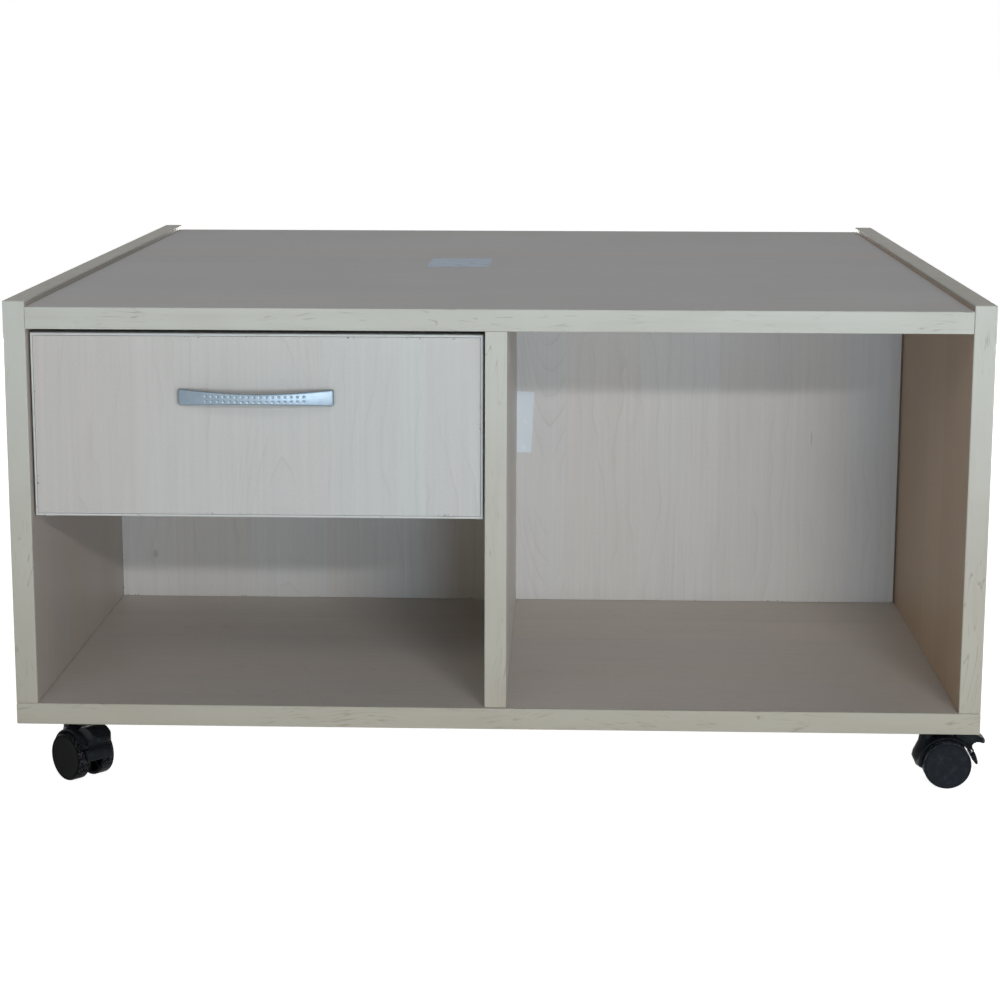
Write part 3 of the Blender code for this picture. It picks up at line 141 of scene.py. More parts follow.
class Wiring:
    """Adds and links the nodes of one tree."""

    def __init__(self, tree: Tree) -> None:
        """Keeps the tree that the nodes go into."""
        self.tree = tree

    def feed(self, socket: Socket, value: object) -> None:
        """Links a socket to another socket, or sets its value. A colour may leave its alpha out."""
        if isinstance(value, Socket):
            self.tree.links.new(value, socket)
        elif socket.type == "RGBA" and len(value) == 3:
            socket.default_value = (*value, 1)
        else:
            socket.default_value = value

    def feed_all(self, node: Node, feeds: dict) -> None:
        """Feeds several inputs of a node, by name or number."""
        for key, value in feeds.items():
            self.feed(node.inputs[key], value)

    def add(self, kind: str, feeds: dict | None = None, **settings: object) -> Node:
        """Adds one node.

        Args:
            kind: the node's type.
            feeds: values or sockets for its inputs, by name or number.
            settings: the node's own properties.

        Returns:
            The node.
        """
        node = self.tree.nodes.new(kind)
        for name, value in settings.items():
            setattr(node, name, value)
        self.feed_all(node, feeds or {})
        return node

    def group(self, tree: Tree, feeds: dict[str, object]) -> Node:
        """Places a shader group and feeds its inputs by name."""
        return self.add("ShaderNodeGroup", feeds, node_tree=tree)

    def calc(self, operation: str, *values: object, clamp: bool = False) -> Socket:
        """One sum on numbers, and its result."""
        feeds = dict(enumerate(values))
        return self.add("ShaderNodeMath", feeds, operation=operation, use_clamp=clamp).outputs[0]

    def times(self, first: object, second: object, clamp: bool = False) -> Socket:
        """The product of two numbers."""
        return self.calc("MULTIPLY", first, second, clamp=clamp)

    def plus(self, first: object, second: object, clamp: bool = False) -> Socket:
        """The sum of two numbers."""
        return self.calc("ADD", first, second, clamp=clamp)

    def minus(self, first: object, second: object, clamp: bool = False) -> Socket:
        """The first number less the second."""
        return self.calc("SUBTRACT", first, second, clamp=clamp)

    def span(self, value: object, low: float, high: float, start: float = 0.0, end: float = 1.0) -> Socket:
        """A value moved smoothly from one range to another, and held at its ends."""
        feeds = {0: value, 1: low, 2: high, 3: start, 4: end}
        return self.add("ShaderNodeMapRange", feeds, interpolation_type="SMOOTHSTEP").outputs[0]

    def mix(self, share: object, first: object, second: object, blend: str = "MIX") -> Socket:
        """Two colours mixed by a share."""
        feeds = {0: share, 6: first, 7: second}
        return self.add("ShaderNodeMix", feeds, data_type="RGBA", blend_type=blend).outputs[2]

    def vector(self, operation: str, *values: object, result: str = "Vector") -> Socket:
        """One sum on vectors, and its result."""
        return self.add("ShaderNodeVectorMath", dict(enumerate(values)), operation=operation).outputs[result]

    def axes(self, vector: object) -> Sequence[Socket]:
        """The three parts of a vector."""
        return self.add("ShaderNodeSeparateXYZ", {0: vector}).outputs

    def join(self, x: object = 0.0, y: object = 0.0, z: object = 0.0) -> Socket:
        """A vector from three numbers."""
        return self.add("ShaderNodeCombineXYZ", {0: x, 1: y, 2: z}).outputs[0]

    def stretch(self, first: object, second: object, cells: Pair, third: object = 0.0) -> Socket:
        """A place in a pattern that has its own number of cells for each metre, both ways."""
        return self.join(self.times(first, cells[0]), self.times(second, cells[1]), third)

    def noise(self, vector: object, cells: float, detail: float = 2.0) -> Socket:
        """A noise value from 0 to 1 at a place."""
        feeds = {"Vector": vector, "Scale": cells, "Detail": detail}
        return self.add("ShaderNodeTexNoise", feeds).outputs[0]

    def drift(self, vector: object, cells: float = 1.0, detail: float = 1.0) -> Socket:
        """A noise value about zero at a place."""
        return self.minus(self.noise(vector, cells, detail), 0.5)


def start_group(name: str, kind: str, inputs: Titles, outputs: Titles) -> tuple[Wiring, dict, dict]:
    """Starts a node group with named inputs and outputs.

    Args:
        name: the group's name.
        kind: the tree's type.
        inputs: the inputs' names by their kind.
        outputs: the outputs' names by their kind.

    Returns:
        The wiring, the input sockets by name and the output sockets by name.
    """
    tree = bpy.data.node_groups.new(name, kind)
    for way, sockets in (("INPUT", inputs), ("OUTPUT", outputs)):
        for socket, titles in sockets.items():
            for title in titles:
                tree.interface.new_socket(title, in_out=way, socket_type=socket.value)
    wiring = Wiring(tree)
    source, sink = wiring.add("NodeGroupInput"), wiring.add("NodeGroupOutput")
    return wiring, {s.name: s for s in source.outputs if s.name}, {s.name: s for s in sink.inputs if s.name}


@dataclass(frozen=True)
class WoodPrint:
    """The maple print: cells for each metre across and along the grain, and the strength of each mark."""

    wide_bend: Pair = (14.0, 5.0)
    small_bend: Pair = (60.0, 22.0)
    fade: Pair = (26.0, 9.0)
    streaks: Pair = (300.0, 6.0)
    mottle: Pair = (900.0, 420.0)
    pores: Pair = (1500.0, 90.0)
    strokes: Pair = (95.0, 8.0)
    knots: Pair = (11.0, 7.0)
    cloud: Pair = (30.0, 5.0)
    plank_step: float = 31.7
    climb_rate: float = 30.0
    crown_rate: float = 4200.0
    straight_rate: float = 75.0
    fine_rate: float = 3.3
    sharp_power: float = 22.0
    soft_power: float = 3.0
    fine_power: float = 8.0
    wide_bend_share: float = 2.6
    small_bend_share: float = 0.7
    straight_bend_share: float = 1.3
    straight_sharp_share: float = 0.55
    soft_share: float = 0.28
    fine_share: float = 0.22
    streak_share: float = 0.13
    mottle_share: float = 0.11
    pore_share: float = 0.025
    cloud_share: float = 0.55
    speck_share: float = 0.42
    fade_limits: Pair = (0.38, 0.6)
    pore_limits: Pair = (0.62, 0.74)
    stroke_size: float = 0.075
    stroke_count_share: float = 0.16
    knot_size: float = 0.04
    knot_count_share: float = 0.22
    mark: Colour = (0.26, 0.21, 0.165)


@dataclass(frozen=True)
class StripPrint:
    """The edging's print: cells for each metre along and across the strip, and the strength of each mark."""

    strokes: Pair = (17.0, 190.0)
    breaks: Pair = (55.0, 260.0)
    soft: Pair = (6.0, 120.0)
    lean_cells: float = 8.0
    lean_reach: float = 45 * MM
    stroke_detail: float = 0.6
    levels: float = 5.0
    stroke_reach: float = 0.13
    break_limits: Pair = (0.42, 0.56)
    place_cells: float = 15.0
    place_squeeze: float = 2.0
    place_limits: Pair = (0.46, 0.58)
    soft_limits: Pair = (0.45, 0.75)
    soft_share: float = 0.09
    cloud_cells: float = 9.0
    cloud_limits: Pair = (0.4, 0.7)
    cloud_share: float = 0.10
    # Painted shade: the strip's ground turns darker and warmer from 400 mm down to 50 mm above the floor.
    shade_free_height: float = 400 * MM
    shade_full_height: float = 50 * MM
    # Painted shade: faces of the strips higher than 406.8 mm, the tops of the side strips, turn darker.
    shaded_top_heights: Pair = (406.8 * MM, 407.8 * MM)
    shaded_top_share: float = 0.42
    mark_share: float = 0.46


@dataclass(frozen=True)
class SurfaceWear:
    """Chips along rims, and dust and scuffs on moulded surfaces: cells for each metre, limits and shares."""

    rim_reach: float = 2 * MM
    ragged_cells: float = 420.0
    ragged_limits: Pair = (0.6, 0.66)
    sparse_cells: float = 45.0
    sparse_limits: Pair = (0.52, 0.6)
    speck_least: float = 0.3
    speck_edge: float = 0.5
    cloud_cells: float = 160.0
    cloud_limits: Pair = (0.45, 0.75)
    scuff_cells: float = 520.0
    scuff_limits: Pair = (0.57, 0.72)
    scuff_height_share: float = 0.4
    clean_roughness: float = 0.40
    dust_roughness: float = 0.35


class Effects:
    """The shader groups that several materials use."""

    def __init__(self) -> None:
        """Builds each group once."""
        self.worn = SurfaceWear()
        self.specks = self._specks()
        self.rim = self._rim()
        self.wood = self._wood(WoodPrint())
        self.strip = self._strip(StripPrint())
        self.skin = self._skin()

    def _specks(self) -> Tree:
        """Sparse small dots, as dirt and dents leave them."""
        inputs = {Kind.VECTOR: ("Vector",), Kind.FLOAT: ("Cells", "Size", "Share")}
        w, into, out = start_group("Specks", "ShaderNodeTree", inputs, {Kind.FLOAT: ("Mask",)})
        cells = w.add("ShaderNodeTexVoronoi", {"Vector": into["Vector"], "Scale": into["Cells"]})
        pick = w.add("ShaderNodeSeparateColor", {0: cells.outputs["Color"]})
        chosen = w.calc("LESS_THAN", pick.outputs[0], into["Share"])
        size = w.times(into["Size"], w.plus(pick.outputs[1], self.worn.speck_least))
        inside = w.minus(1.0, w.calc("DIVIDE", cells.outputs["Distance"], size), clamp=True)
        w.feed(out["Mask"], w.times(chosen, w.span(inside, 0.0, self.worn.speck_edge)))
        return w.tree

    def _rim(self) -> Tree:
        """Chips along the rims of a flat board, from the distance to its outline."""
        inputs = {Kind.VECTOR: ("Vector", "Centre", "Half")}
        w, into, out = start_group("Rim wear", "ShaderNodeTree", inputs, {Kind.FLOAT: ("Chips",)})
        place = w.vector("ABSOLUTE", w.vector("SUBTRACT", into["Vector"], into["Centre"]))
        axes = w.axes(w.vector("SUBTRACT", into["Half"], place))
        nearest = w.calc("MINIMUM", w.calc("MINIMUM", axes[0], axes[1]), axes[2])
        near = w.minus(1.0, w.calc("DIVIDE", nearest, self.worn.rim_reach), clamp=True)
        ragged = w.noise(into["Vector"], self.worn.ragged_cells, 2.0)
        sparse = w.noise(into["Vector"], self.worn.sparse_cells, 1.0)
        chips = w.times(w.span(ragged, *self.worn.ragged_limits), w.span(sparse, *self.worn.sparse_limits))
        w.feed(out["Chips"], w.times(near, chips))
        return w.tree

    def _wood(self, p: WoodPrint) -> Tree:
        """A printed maple pattern on one plank: growth lines, streaks, strokes, knots and pores.

        Args:
            p: the sizes and strengths of the print.

        Returns:
            The group.
        """
        looks = ("Centre", "Number", "Tone", "Warmth", "Bend", "Line depth", "Tone depth")
        inputs = {Kind.FLOAT: ("Along", "Across", "Seed", *looks), Kind.COLOUR: ("Cool", "Warm")}
        outputs = {Kind.COLOUR: ("Color",), Kind.FLOAT: ("Pores",)}
        w, into, out = start_group("Printed wood", "ShaderNodeTree", inputs, outputs)
        along, across, seed = into["Along"], into["Across"], into["Seed"]
        local = w.minus(across, into["Centre"])
        own = w.plus(w.times(into["Number"], p.plank_step), seed)
        wide_bend = w.drift(w.stretch(across, along, p.wide_bend, own))
        small_bend = w.drift(w.stretch(across, along, p.small_bend, own))
        bend = w.plus(w.times(wide_bend, p.wide_bend_share), w.times(small_bend, p.small_bend_share))
        sign = w.minus(w.times(into["Bend"], 2.0), 1.0)
        climb = w.times(w.times(sign, along), p.climb_rate)
        crown = w.times(w.times(local, local), p.crown_rate)
        arched = w.plus(w.plus(climb, crown), bend)
        straight = w.plus(w.times(local, p.straight_rate), w.times(bend, p.straight_bend_share))
        pick = w.calc("GREATER_THAN", w.calc("ABSOLUTE", sign), 0.5)
        shape = w.add("ShaderNodeMix", {0: pick, 2: straight, 3: arched}, data_type="FLOAT").outputs[0]
        phase = w.plus(shape, own)
        ring = w.calc("FRACT", phase)
        fine_ring = w.calc("FRACT", w.times(phase, p.fine_rate))
        fade = w.span(w.noise(w.stretch(across, along, p.fade, own), 1.0, 1.0), *p.fade_limits)
        narrow = w.span(pick, 0.0, 1.0, p.straight_sharp_share, 1.0)
        sharp = w.times(w.calc("POWER", ring, p.sharp_power), narrow)
        soft = w.times(w.calc("POWER", ring, p.soft_power), p.soft_share)
        fine = w.times(w.calc("POWER", fine_ring, p.fine_power), p.fine_share)
        lines = w.times(w.plus(w.plus(sharp, soft), fine), fade)
        streaks = w.drift(w.stretch(across, along, p.streaks, own), detail=3.0)
        mottle = w.drift(w.stretch(across, along, p.mottle), detail=2.0)
        pores = w.span(w.noise(w.stretch(across, along, p.pores), 1.0, 1.0), *p.pore_limits)
        stroke_feeds = {"Cells": 1.0, "Size": p.stroke_size, "Share": p.stroke_count_share}
        strokes = w.group(self.specks, {"Vector": w.stretch(across, along, p.strokes, seed)} | stroke_feeds)
        knot_feeds = {"Cells": 1.0, "Size": p.knot_size, "Share": p.knot_count_share}
        knots = w.group(self.specks, {"Vector": w.stretch(across, along, p.knots, seed)} | knot_feeds)
        cloud = w.drift(w.stretch(across, along, p.cloud, own), detail=2.0)
        warmth = w.plus(into["Warmth"], w.times(cloud, p.cloud_share), clamp=True)
        hue = w.mix(warmth, into["Cool"], into["Warm"])
        tone = w.times(w.minus(into["Tone"], 0.5), into["Tone depth"])
        tone = w.plus(tone, w.times(streaks, p.streak_share))
        tone = w.plus(tone, w.times(mottle, p.mottle_share))
        tone = w.minus(tone, w.times(pores, p.pore_share))
        level = w.plus(tone, 1.0)
        ground = w.mix(1.0, hue, w.join(level, level, level), "MULTIPLY")
        marks = w.times(lines, into["Line depth"])
        marks = w.plus(marks, w.times(strokes.outputs[0], p.speck_share))
        marks = w.plus(marks, w.times(knots.outputs[0], p.speck_share), clamp=True)
        w.feed(out["Color"], w.mix(marks, ground, p.mark))
        w.feed(out["Pores"], pores)
        return w.tree

    def _strip(self, p: StripPrint) -> Tree:
        """A plastic strip's print: a plain ground with groups of thin brown strokes that lean a little, and
        painted shade that darkens it towards the floor and on the tops of the side strips.

        Args:
            p: the sizes and strengths of the print.

        Returns:
            The group.
        """
        inputs = {
            Kind.VECTOR: ("Vector", "Along", "Across"), Kind.FLOAT: ("Seed",),
            Kind.COLOUR: ("Ground", "Painted shade", "Stroke"),
        }
        w, into, out = start_group("Edging print", "ShaderNodeTree", inputs, {Kind.COLOUR: ("Color",)})
        vector, seed = into["Vector"], into["Seed"]
        along = w.plus(w.vector("DOT_PRODUCT", vector, into["Along"], result="Value"), seed)
        across = w.vector("DOT_PRODUCT", vector, into["Across"], result="Value")
        lean = w.times(w.drift(w.join(along, seed), p.lean_cells, 0.0), p.lean_reach)
        level = w.noise(w.stretch(along, w.plus(across, lean), p.strokes, seed), 1.0, p.stroke_detail)
        apart = w.calc("ABSOLUTE", w.minus(w.calc("FRACT", w.times(level, p.levels)), 0.5))
        thin = w.span(apart, 0.0, p.stroke_reach, 1.0, 0.0)
        broken = w.span(w.noise(w.stretch(along, across, p.breaks), 1.0, 1.0), *p.break_limits)
        group = w.noise(w.join(along, w.times(across, p.place_squeeze), seed), p.place_cells, 2.0)
        marks = w.times(w.times(thin, w.span(group, *p.place_limits)), broken)
        soft_noise = w.noise(w.stretch(along, across, p.soft, seed), 1.0, 2.0)
        soft = w.span(soft_noise, *p.soft_limits, 0.0, p.soft_share)
        cloud_noise = w.noise(w.join(along, across, seed), p.cloud_cells, 2.0)
        cloud = w.span(cloud_noise, *p.cloud_limits, 0.0, p.cloud_share)
        height = w.axes(vector)[2]
        # Painted shade: the ground turns darker and warmer from 400 mm down to 50 mm above the floor.
        shade_share = w.add("ShaderNodeMapRange", {0: height, 1: p.shade_free_height, 2: p.shade_full_height}).outputs[0]
        ground = w.mix(shade_share, into["Ground"], into["Painted shade"])
        # Painted shade: faces higher than 406.8 mm, the tops of the side strips, turn darker.
        ground = w.mix(w.span(height, *p.shaded_top_heights, 0.0, p.shaded_top_share), ground, into["Stroke"])
        ground = w.mix(w.plus(soft, cloud), ground, into["Stroke"])
        w.feed(out["Color"], w.mix(w.times(marks, p.mark_share), ground, into["Stroke"]))
        return w.tree

    def _skin(self) -> Tree:
        """A moulded surface: fine spark texture, with dust and scuffs that lighten it."""
        inputs = {
            Kind.VECTOR: ("Vector",),
            Kind.FLOAT: ("Texture size", "Dust share"),
            Kind.COLOUR: ("Base", "Dust"),
        }
        outputs = {Kind.COLOUR: ("Color",), Kind.FLOAT: ("Roughness", "Height")}
        w, into, out = start_group("Moulded skin", "ShaderNodeTree", inputs, outputs)
        worn = self.worn
        spark = w.noise(into["Vector"], into["Texture size"], 1.0)
        cloud = w.noise(into["Vector"], worn.cloud_cells, 4.0)
        scuff = w.span(w.noise(into["Vector"], worn.scuff_cells, 3.0), *worn.scuff_limits)
        dust = w.times(w.plus(w.span(cloud, *worn.cloud_limits), scuff), into["Dust share"], clamp=True)
        w.feed(out["Color"], w.mix(dust, into["Base"], into["Dust"]))
        w.feed(out["Roughness"], w.plus(worn.clean_roughness, w.times(dust, worn.dust_roughness)))
        w.feed(out["Height"], w.plus(spark, w.times(scuff, worn.scuff_height_share)))
        return w.tree


# Finishes


def start_material(name: str) -> tuple[Wiring, Node, Socket, Material]:
    """Starts a material.

    Args:
        name: the material's name.

    Returns:
        Its wiring, its shader, the object coordinates and the material.
    """
    made = bpy.data.materials.new(name)
    made.use_nodes = True
    wiring = Wiring(made.node_tree)
    shader = made.node_tree.nodes["Principled BSDF"]
    return wiring, shader, wiring.add("ShaderNodeTexCoord").outputs["Object"], made


def raise_surface(w: Wiring, shader: Node, height: object, depth: float, strength: float) -> None:
    """Feeds a height to a shader's normal through a bump."""
    bump = w.add("ShaderNodeBump", {"Height": height, "Distance": depth, "Strength": strength})
    w.feed(shader.inputs["Normal"], bump.outputs[0])


def wear(thing: Thing, material: Material) -> None:
    """Puts one material on the whole of an object."""
    thing.data.materials.clear()
    thing.data.materials.append(material)


@dataclass(frozen=True)
class Plank:
    """One plank of the print.

    It has its width, its tone and warmth from 0 to 1, how its lines run and where across it they arch.
    """

    width: float
    tone: float
    warmth: float
    bend: Bend = Bend.STRAIGHT
    heart: float = 0.5


def mixed_planks(seed: int, count: int, widths: Pair = (55.0, 85.0)) -> tuple[Plank, ...]:
    """Planks of ordinary widths and mixed tones.

    Args:
        seed: the seed of the mix.
        count: how many planks there are.
        widths: the least and the greatest width, in millimetres.

    Returns:
        The planks in order.
    """
    dice = random.Random(seed)
    bends = (Bend.STRAIGHT, Bend.STRAIGHT, Bend.ARCHED_UP, Bend.ARCHED_DOWN)
    return tuple(
        Plank(dice.uniform(*widths) * MM, dice.random(), dice.random(), dice.choice(bends))
        for _ in range(count)
    )


def lay_planks(
    w: Wiring, across: Socket, low: float, high: float, planks: Sequence[Plank]
) -> dict[str, Socket]:
    """Finds the plank that a place is on, with one ramp for its looks and one for its place.

    Args:
        w: the material's wiring.
        across: the distance across the grain.
        low: where the first plank starts.
        high: where the last plank ends.
        planks: the planks in order, which share the width out.

    Returns:
        What the wood group needs to know of the plank, by the names of its inputs.
    """
    share = w.add("ShaderNodeMapRange", {0: across, 1: low, 2: high}).outputs[0]
    total = sum(plank.width for plank in planks)
    looks, places, start = [], [], 0.0
    for i, plank in enumerate(planks):
        looks.append((start / total, (plank.tone, plank.warmth, plank.bend.value, 1)))
        places.append((start / total, ((start + plank.width * plank.heart) / total, i / len(planks), 0, 1)))
        start += plank.width
    parts = []
    for stops in (looks, places):
        ramp = w.add("ShaderNodeValToRGB", {0: share})
        ramp.color_ramp.interpolation = "CONSTANT"
        ramp.color_ramp.elements.remove(ramp.color_ramp.elements[1])
        ramp.color_ramp.elements[0].color = stops[0][1]
        for position, colour in stops[1:]:
            ramp.color_ramp.elements.new(position).color = colour
        parts += list(w.add("ShaderNodeSeparateColor", {0: ramp.outputs[0]}).outputs)
    tone, warmth, bend, middle, number, _ = parts
    centre = w.plus(w.times(middle, high - low), low)
    return {"Tone": tone, "Warmth": warmth, "Bend": bend, "Centre": centre, "Number": number}


@dataclass(frozen=True)
class Laminate:
    """Wood-print laminate on a board."""

    cool: Colour
    warm: Colour
    roughness: float = 0.42
    line_depth: float = 0.30
    tone_depth: float = 0.09
    dirt_share: float = 0.05
    shine: float = 0.3
    dirt: Colour = (0.09, 0.075, 0.06)
    dirt_cells: float = 26.0
    dirt_size: float = 0.045
    dirt_strength: float = 0.5
    seam_limits: Pair = (0.6 * MM, 1.0 * MM)
    rubbed_cells: float = 9.0
    rubbed_roughness: float = 0.12
    pore_depth_share: float = -0.6
    relief: float = 0.06 * MM

    def dress(
        self, fx: Effects, node: Thing, grain: Grain, planks: Sequence[Plank], seed: float,
        seam: float | None = None,
    ) -> None:
        """Dresses one board, with chips along the rims of its broad face.

        Args:
            fx: the shared shader groups.
            node: the board.
            grain: the way its grain runs.
            planks: the planks of its print.
            seed: which part of the print it shows.
            seam: where a dark gap shows on the board, across its grain.
        """
        w, shader, place, made = start_material(f"laminate_{node.name}")
        low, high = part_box(node.name)
        size = high - low
        thin = min(range(3), key=lambda i: size[i])
        along, across = [i for i in range(3) if i != thin]
        if grain is Grain.UPRIGHT:
            along, across = across, along
        axes = w.axes(place)
        wood = w.group(fx.wood, lay_planks(w, axes[across], low[across], high[across], planks) | {
            "Along": axes[along], "Across": axes[across], "Seed": seed, "Line depth": self.line_depth,
            "Tone depth": self.tone_depth, "Cool": self.cool, "Warm": self.warm,
        })
        half = size / 2
        half[thin] = 1.0
        rim = w.group(fx.rim, {"Vector": place, "Centre": (low + high) / 2, "Half": half})
        dirt_feeds = {"Cells": self.dirt_cells, "Size": self.dirt_size, "Share": self.dirt_share}
        dirt = w.group(fx.specks, {"Vector": place} | dirt_feeds)
        marks = w.plus(rim.outputs["Chips"], w.times(dirt.outputs[0], self.dirt_strength), clamp=True)
        if seam is not None:
            apart = w.calc("ABSOLUTE", w.minus(axes[across], seam))
            marks = w.calc("MAXIMUM", marks, w.span(apart, *self.seam_limits, 1.0, 0.0))
        rubbed = w.times(w.noise(place, self.rubbed_cells, 3.0), self.rubbed_roughness)
        w.feed_all(shader, {
            "Base Color": w.mix(marks, wood.outputs["Color"], self.dirt),
            "Roughness": w.plus(self.roughness - self.rubbed_roughness / 2, rubbed),
            "Specular IOR Level": self.shine,
        })
        relief = w.minus(w.times(wood.outputs["Pores"], self.pore_depth_share), marks)
        raise_surface(w, shader, relief, self.relief, 0.5)
        wear(node, made)


@dataclass(frozen=True)
class EdgingStrip:
    """Printed plastic strip on a board's edge, with painted shade that makes it darker and warmer near the
    floor.
    """

    ground: Colour = (0.515, 0.525, 0.475)
    # The colour of the painted shade near the floor.
    painted_shade: Colour = (0.42, 0.395, 0.325)
    stroke: Colour = (0.23, 0.185, 0.13)
    dirt: Colour = (0.12, 0.10, 0.08)
    shine: float = 0.05
    dirt_cells: float = 60.0
    dirt_size: float = 0.09
    dirt_share: float = 0.12
    dirt_strength: float = 0.35
    smooth_roughness: float = 0.36
    rough_range: float = 0.14
    relief: float = 0.02 * MM

    def dress(self, fx: Effects, node: Thing, run: Run, seed: float) -> None:
        """Dresses one strip."""
        w, shader, place, made = start_material(f"edging_{node.name}")
        along, across = run.value
        strip = w.group(fx.strip, {
            "Vector": place, "Along": along, "Across": across, "Seed": seed,
            "Ground": self.ground, "Painted shade": self.painted_shade, "Stroke": self.stroke,
        })
        dirt_feeds = {"Cells": self.dirt_cells, "Size": self.dirt_size, "Share": self.dirt_share}
        dirt = w.group(fx.specks, {"Vector": place} | dirt_feeds)
        dark = w.times(dirt.outputs[0], self.dirt_strength)
        w.feed_all(shader, {
            "Base Color": w.mix(dark, strip.outputs["Color"], self.dirt),
            "Roughness": w.plus(self.smooth_roughness, w.times(w.noise(place, 40.0, 3.0), self.rough_range)),
            "Specular IOR Level": self.shine,
        })
        raise_surface(w, shader, w.noise(place, 900.0, 2.0), self.relief, 0.4)
        wear(node, made)


@dataclass(frozen=True)
class Moulded:
    """Moulded plastic, or metal painted as dull as that."""

    name: str
    base: Colour
    dust: Colour
    dust_share: float = 0.25
    texture: float = 2500.0
    tread_dust: Colour = (0.15, 0.15, 0.165)
    tread_limits: Pair = (18.9 * MM, 19.6 * MM)
    tread_cells: float = 620.0
    tread_patches: Pair = (0.44, 0.66)
    tread_strength: float = 0.45
    relief: float = 0.02 * MM
    metal: float = 0.0
    shine: float = 0.06

    def make(self, fx: Effects, axle: tuple[Vector, Vector] | None = None) -> Material:
        """The material.

        Args:
            fx: the shared shader groups.
            axle: a wheel's centre and its axle's direction, where dust has gathered on the tread.

        Returns:
            The material.
        """
        w, shader, place, made = start_material(self.name)
        skin = w.group(fx.skin, {
            "Vector": place, "Texture size": self.texture, "Dust share": self.dust_share,
            "Base": self.base, "Dust": self.dust,
        })
        colour = skin.outputs["Color"]
        if axle:
            arm = w.vector("CROSS_PRODUCT", w.vector("SUBTRACT", place, axle[0]), axle[1])
            reach = w.vector("LENGTH", arm, result="Value")
            patches = w.span(w.noise(place, self.tread_cells, 5.0), *self.tread_patches)
            dusty = w.times(w.span(reach, *self.tread_limits), patches)
            colour = w.mix(w.times(dusty, self.tread_strength), colour, self.tread_dust)
        w.feed_all(shader, {
            "Base Color": colour, "Roughness": skin.outputs["Roughness"],
            "Metallic": self.metal, "Specular IOR Level": self.shine,
        })
        raise_surface(w, shader, skin.outputs["Height"], self.relief, 0.6)
        return made


@dataclass(frozen=True)
class Lacquered:
    """Die-cast metal under silver lacquer, with fine sparkle and rubbed patches."""

    name: str = "silver_lacquer"
    base: Colour = (0.185, 0.24, 0.285)
    rubbed: Colour = (0.14, 0.19, 0.23)
    sparkle: Colour = (0.55, 0.62, 0.68)
    flake_cells: float = 5200.0
    patch_cells: float = 170.0
    rubbed_share: float = 0.45
    sparkle_share: float = 0.30
    metal: float = 0.82
    roughness: Pair = (0.36, 0.50)
    relief: float = 0.03 * MM

    def make(self) -> Material:
        """The material."""
        w, shader, place, made = start_material(self.name)
        flakes = w.noise(place, self.flake_cells, 0.0)
        patches = w.span(w.noise(place, self.patch_cells, 4.0), 0.42, 0.72)
        colour = w.mix(w.times(patches, self.rubbed_share), self.base, self.rubbed)
        bright = w.span(flakes, 0.5, 0.8, 0.0, self.sparkle_share)
        w.feed_all(shader, {
            "Base Color": w.mix(bright, colour, self.sparkle), "Metallic": self.metal,
            "Roughness": w.span(flakes, 0.2, 0.8, *self.roughness),
        })
        raise_surface(w, shader, flakes, self.relief, 0.35)
        return made


@dataclass(frozen=True)
class Plated:
    """Zinc-plated or drawn steel, with fine lines and dull patches."""

    name: str
    base: Colour
    dull: Colour
    spot: Colour = (0.2, 0.19, 0.17)
    metal: float = 0.9
    roughness: float = 0.3
    dull_roughness: float = 0.18
    spot_strength: float = 0.3
    relief: float = 0.01 * MM

    def make(self, fx: Effects) -> Material:
        """The material, from the shared shader groups."""
        w, shader, place, made = start_material(self.name)
        dull = w.span(w.noise(place, 110.0, 4.0), 0.4, 0.7)
        spots = w.group(fx.specks, {"Vector": place, "Cells": 300.0, "Size": 0.2, "Share": 0.3}).outputs[0]
        colour = w.mix(dull, self.base, self.dull)
        w.feed_all(shader, {
            "Base Color": w.mix(w.times(spots, self.spot_strength), colour, self.spot),
            "Metallic": self.metal,
            "Roughness": w.plus(self.roughness, w.times(dull, self.dull_roughness)),
        })
        raise_surface(w, shader, w.noise(place, 2200.0, 2.0), self.relief, 0.5)
        return made


@dataclass(frozen=True)
class Paper:
    """Paper stuck to a board, with fibres, faint creases and rubbed patches."""

    name: str
    base: Colour
    rubbed: Colour
    rubbed_share: float
    fibre: Colour = (0.8, 0.82, 0.84)
    fibre_share: float = 0.12
    roughness: Pair = (0.6, 0.75)
    shine: float = 0.05
    relief: float = 0.04 * MM

    def make(self) -> Material:
        """The material."""
        w, shader, place, made = start_material(self.name)
        fibres = w.noise(place, 1800.0, 3.0)
        patches = w.span(w.noise(place, 95.0, 5.0), 0.62 - self.rubbed_share, 0.7)
        colour = w.mix(patches, self.base, self.rubbed)
        w.feed_all(shader, {
            "Base Color": w.mix(w.span(fibres, 0.5, 0.8, 0.0, self.fibre_share), colour, self.fibre),
            "Roughness": w.span(fibres, 0.2, 0.8, *self.roughness), "Specular IOR Level": self.shine,
        })
        raise_surface(w, shader, w.plus(fibres, patches), self.relief, 0.5)
        return made


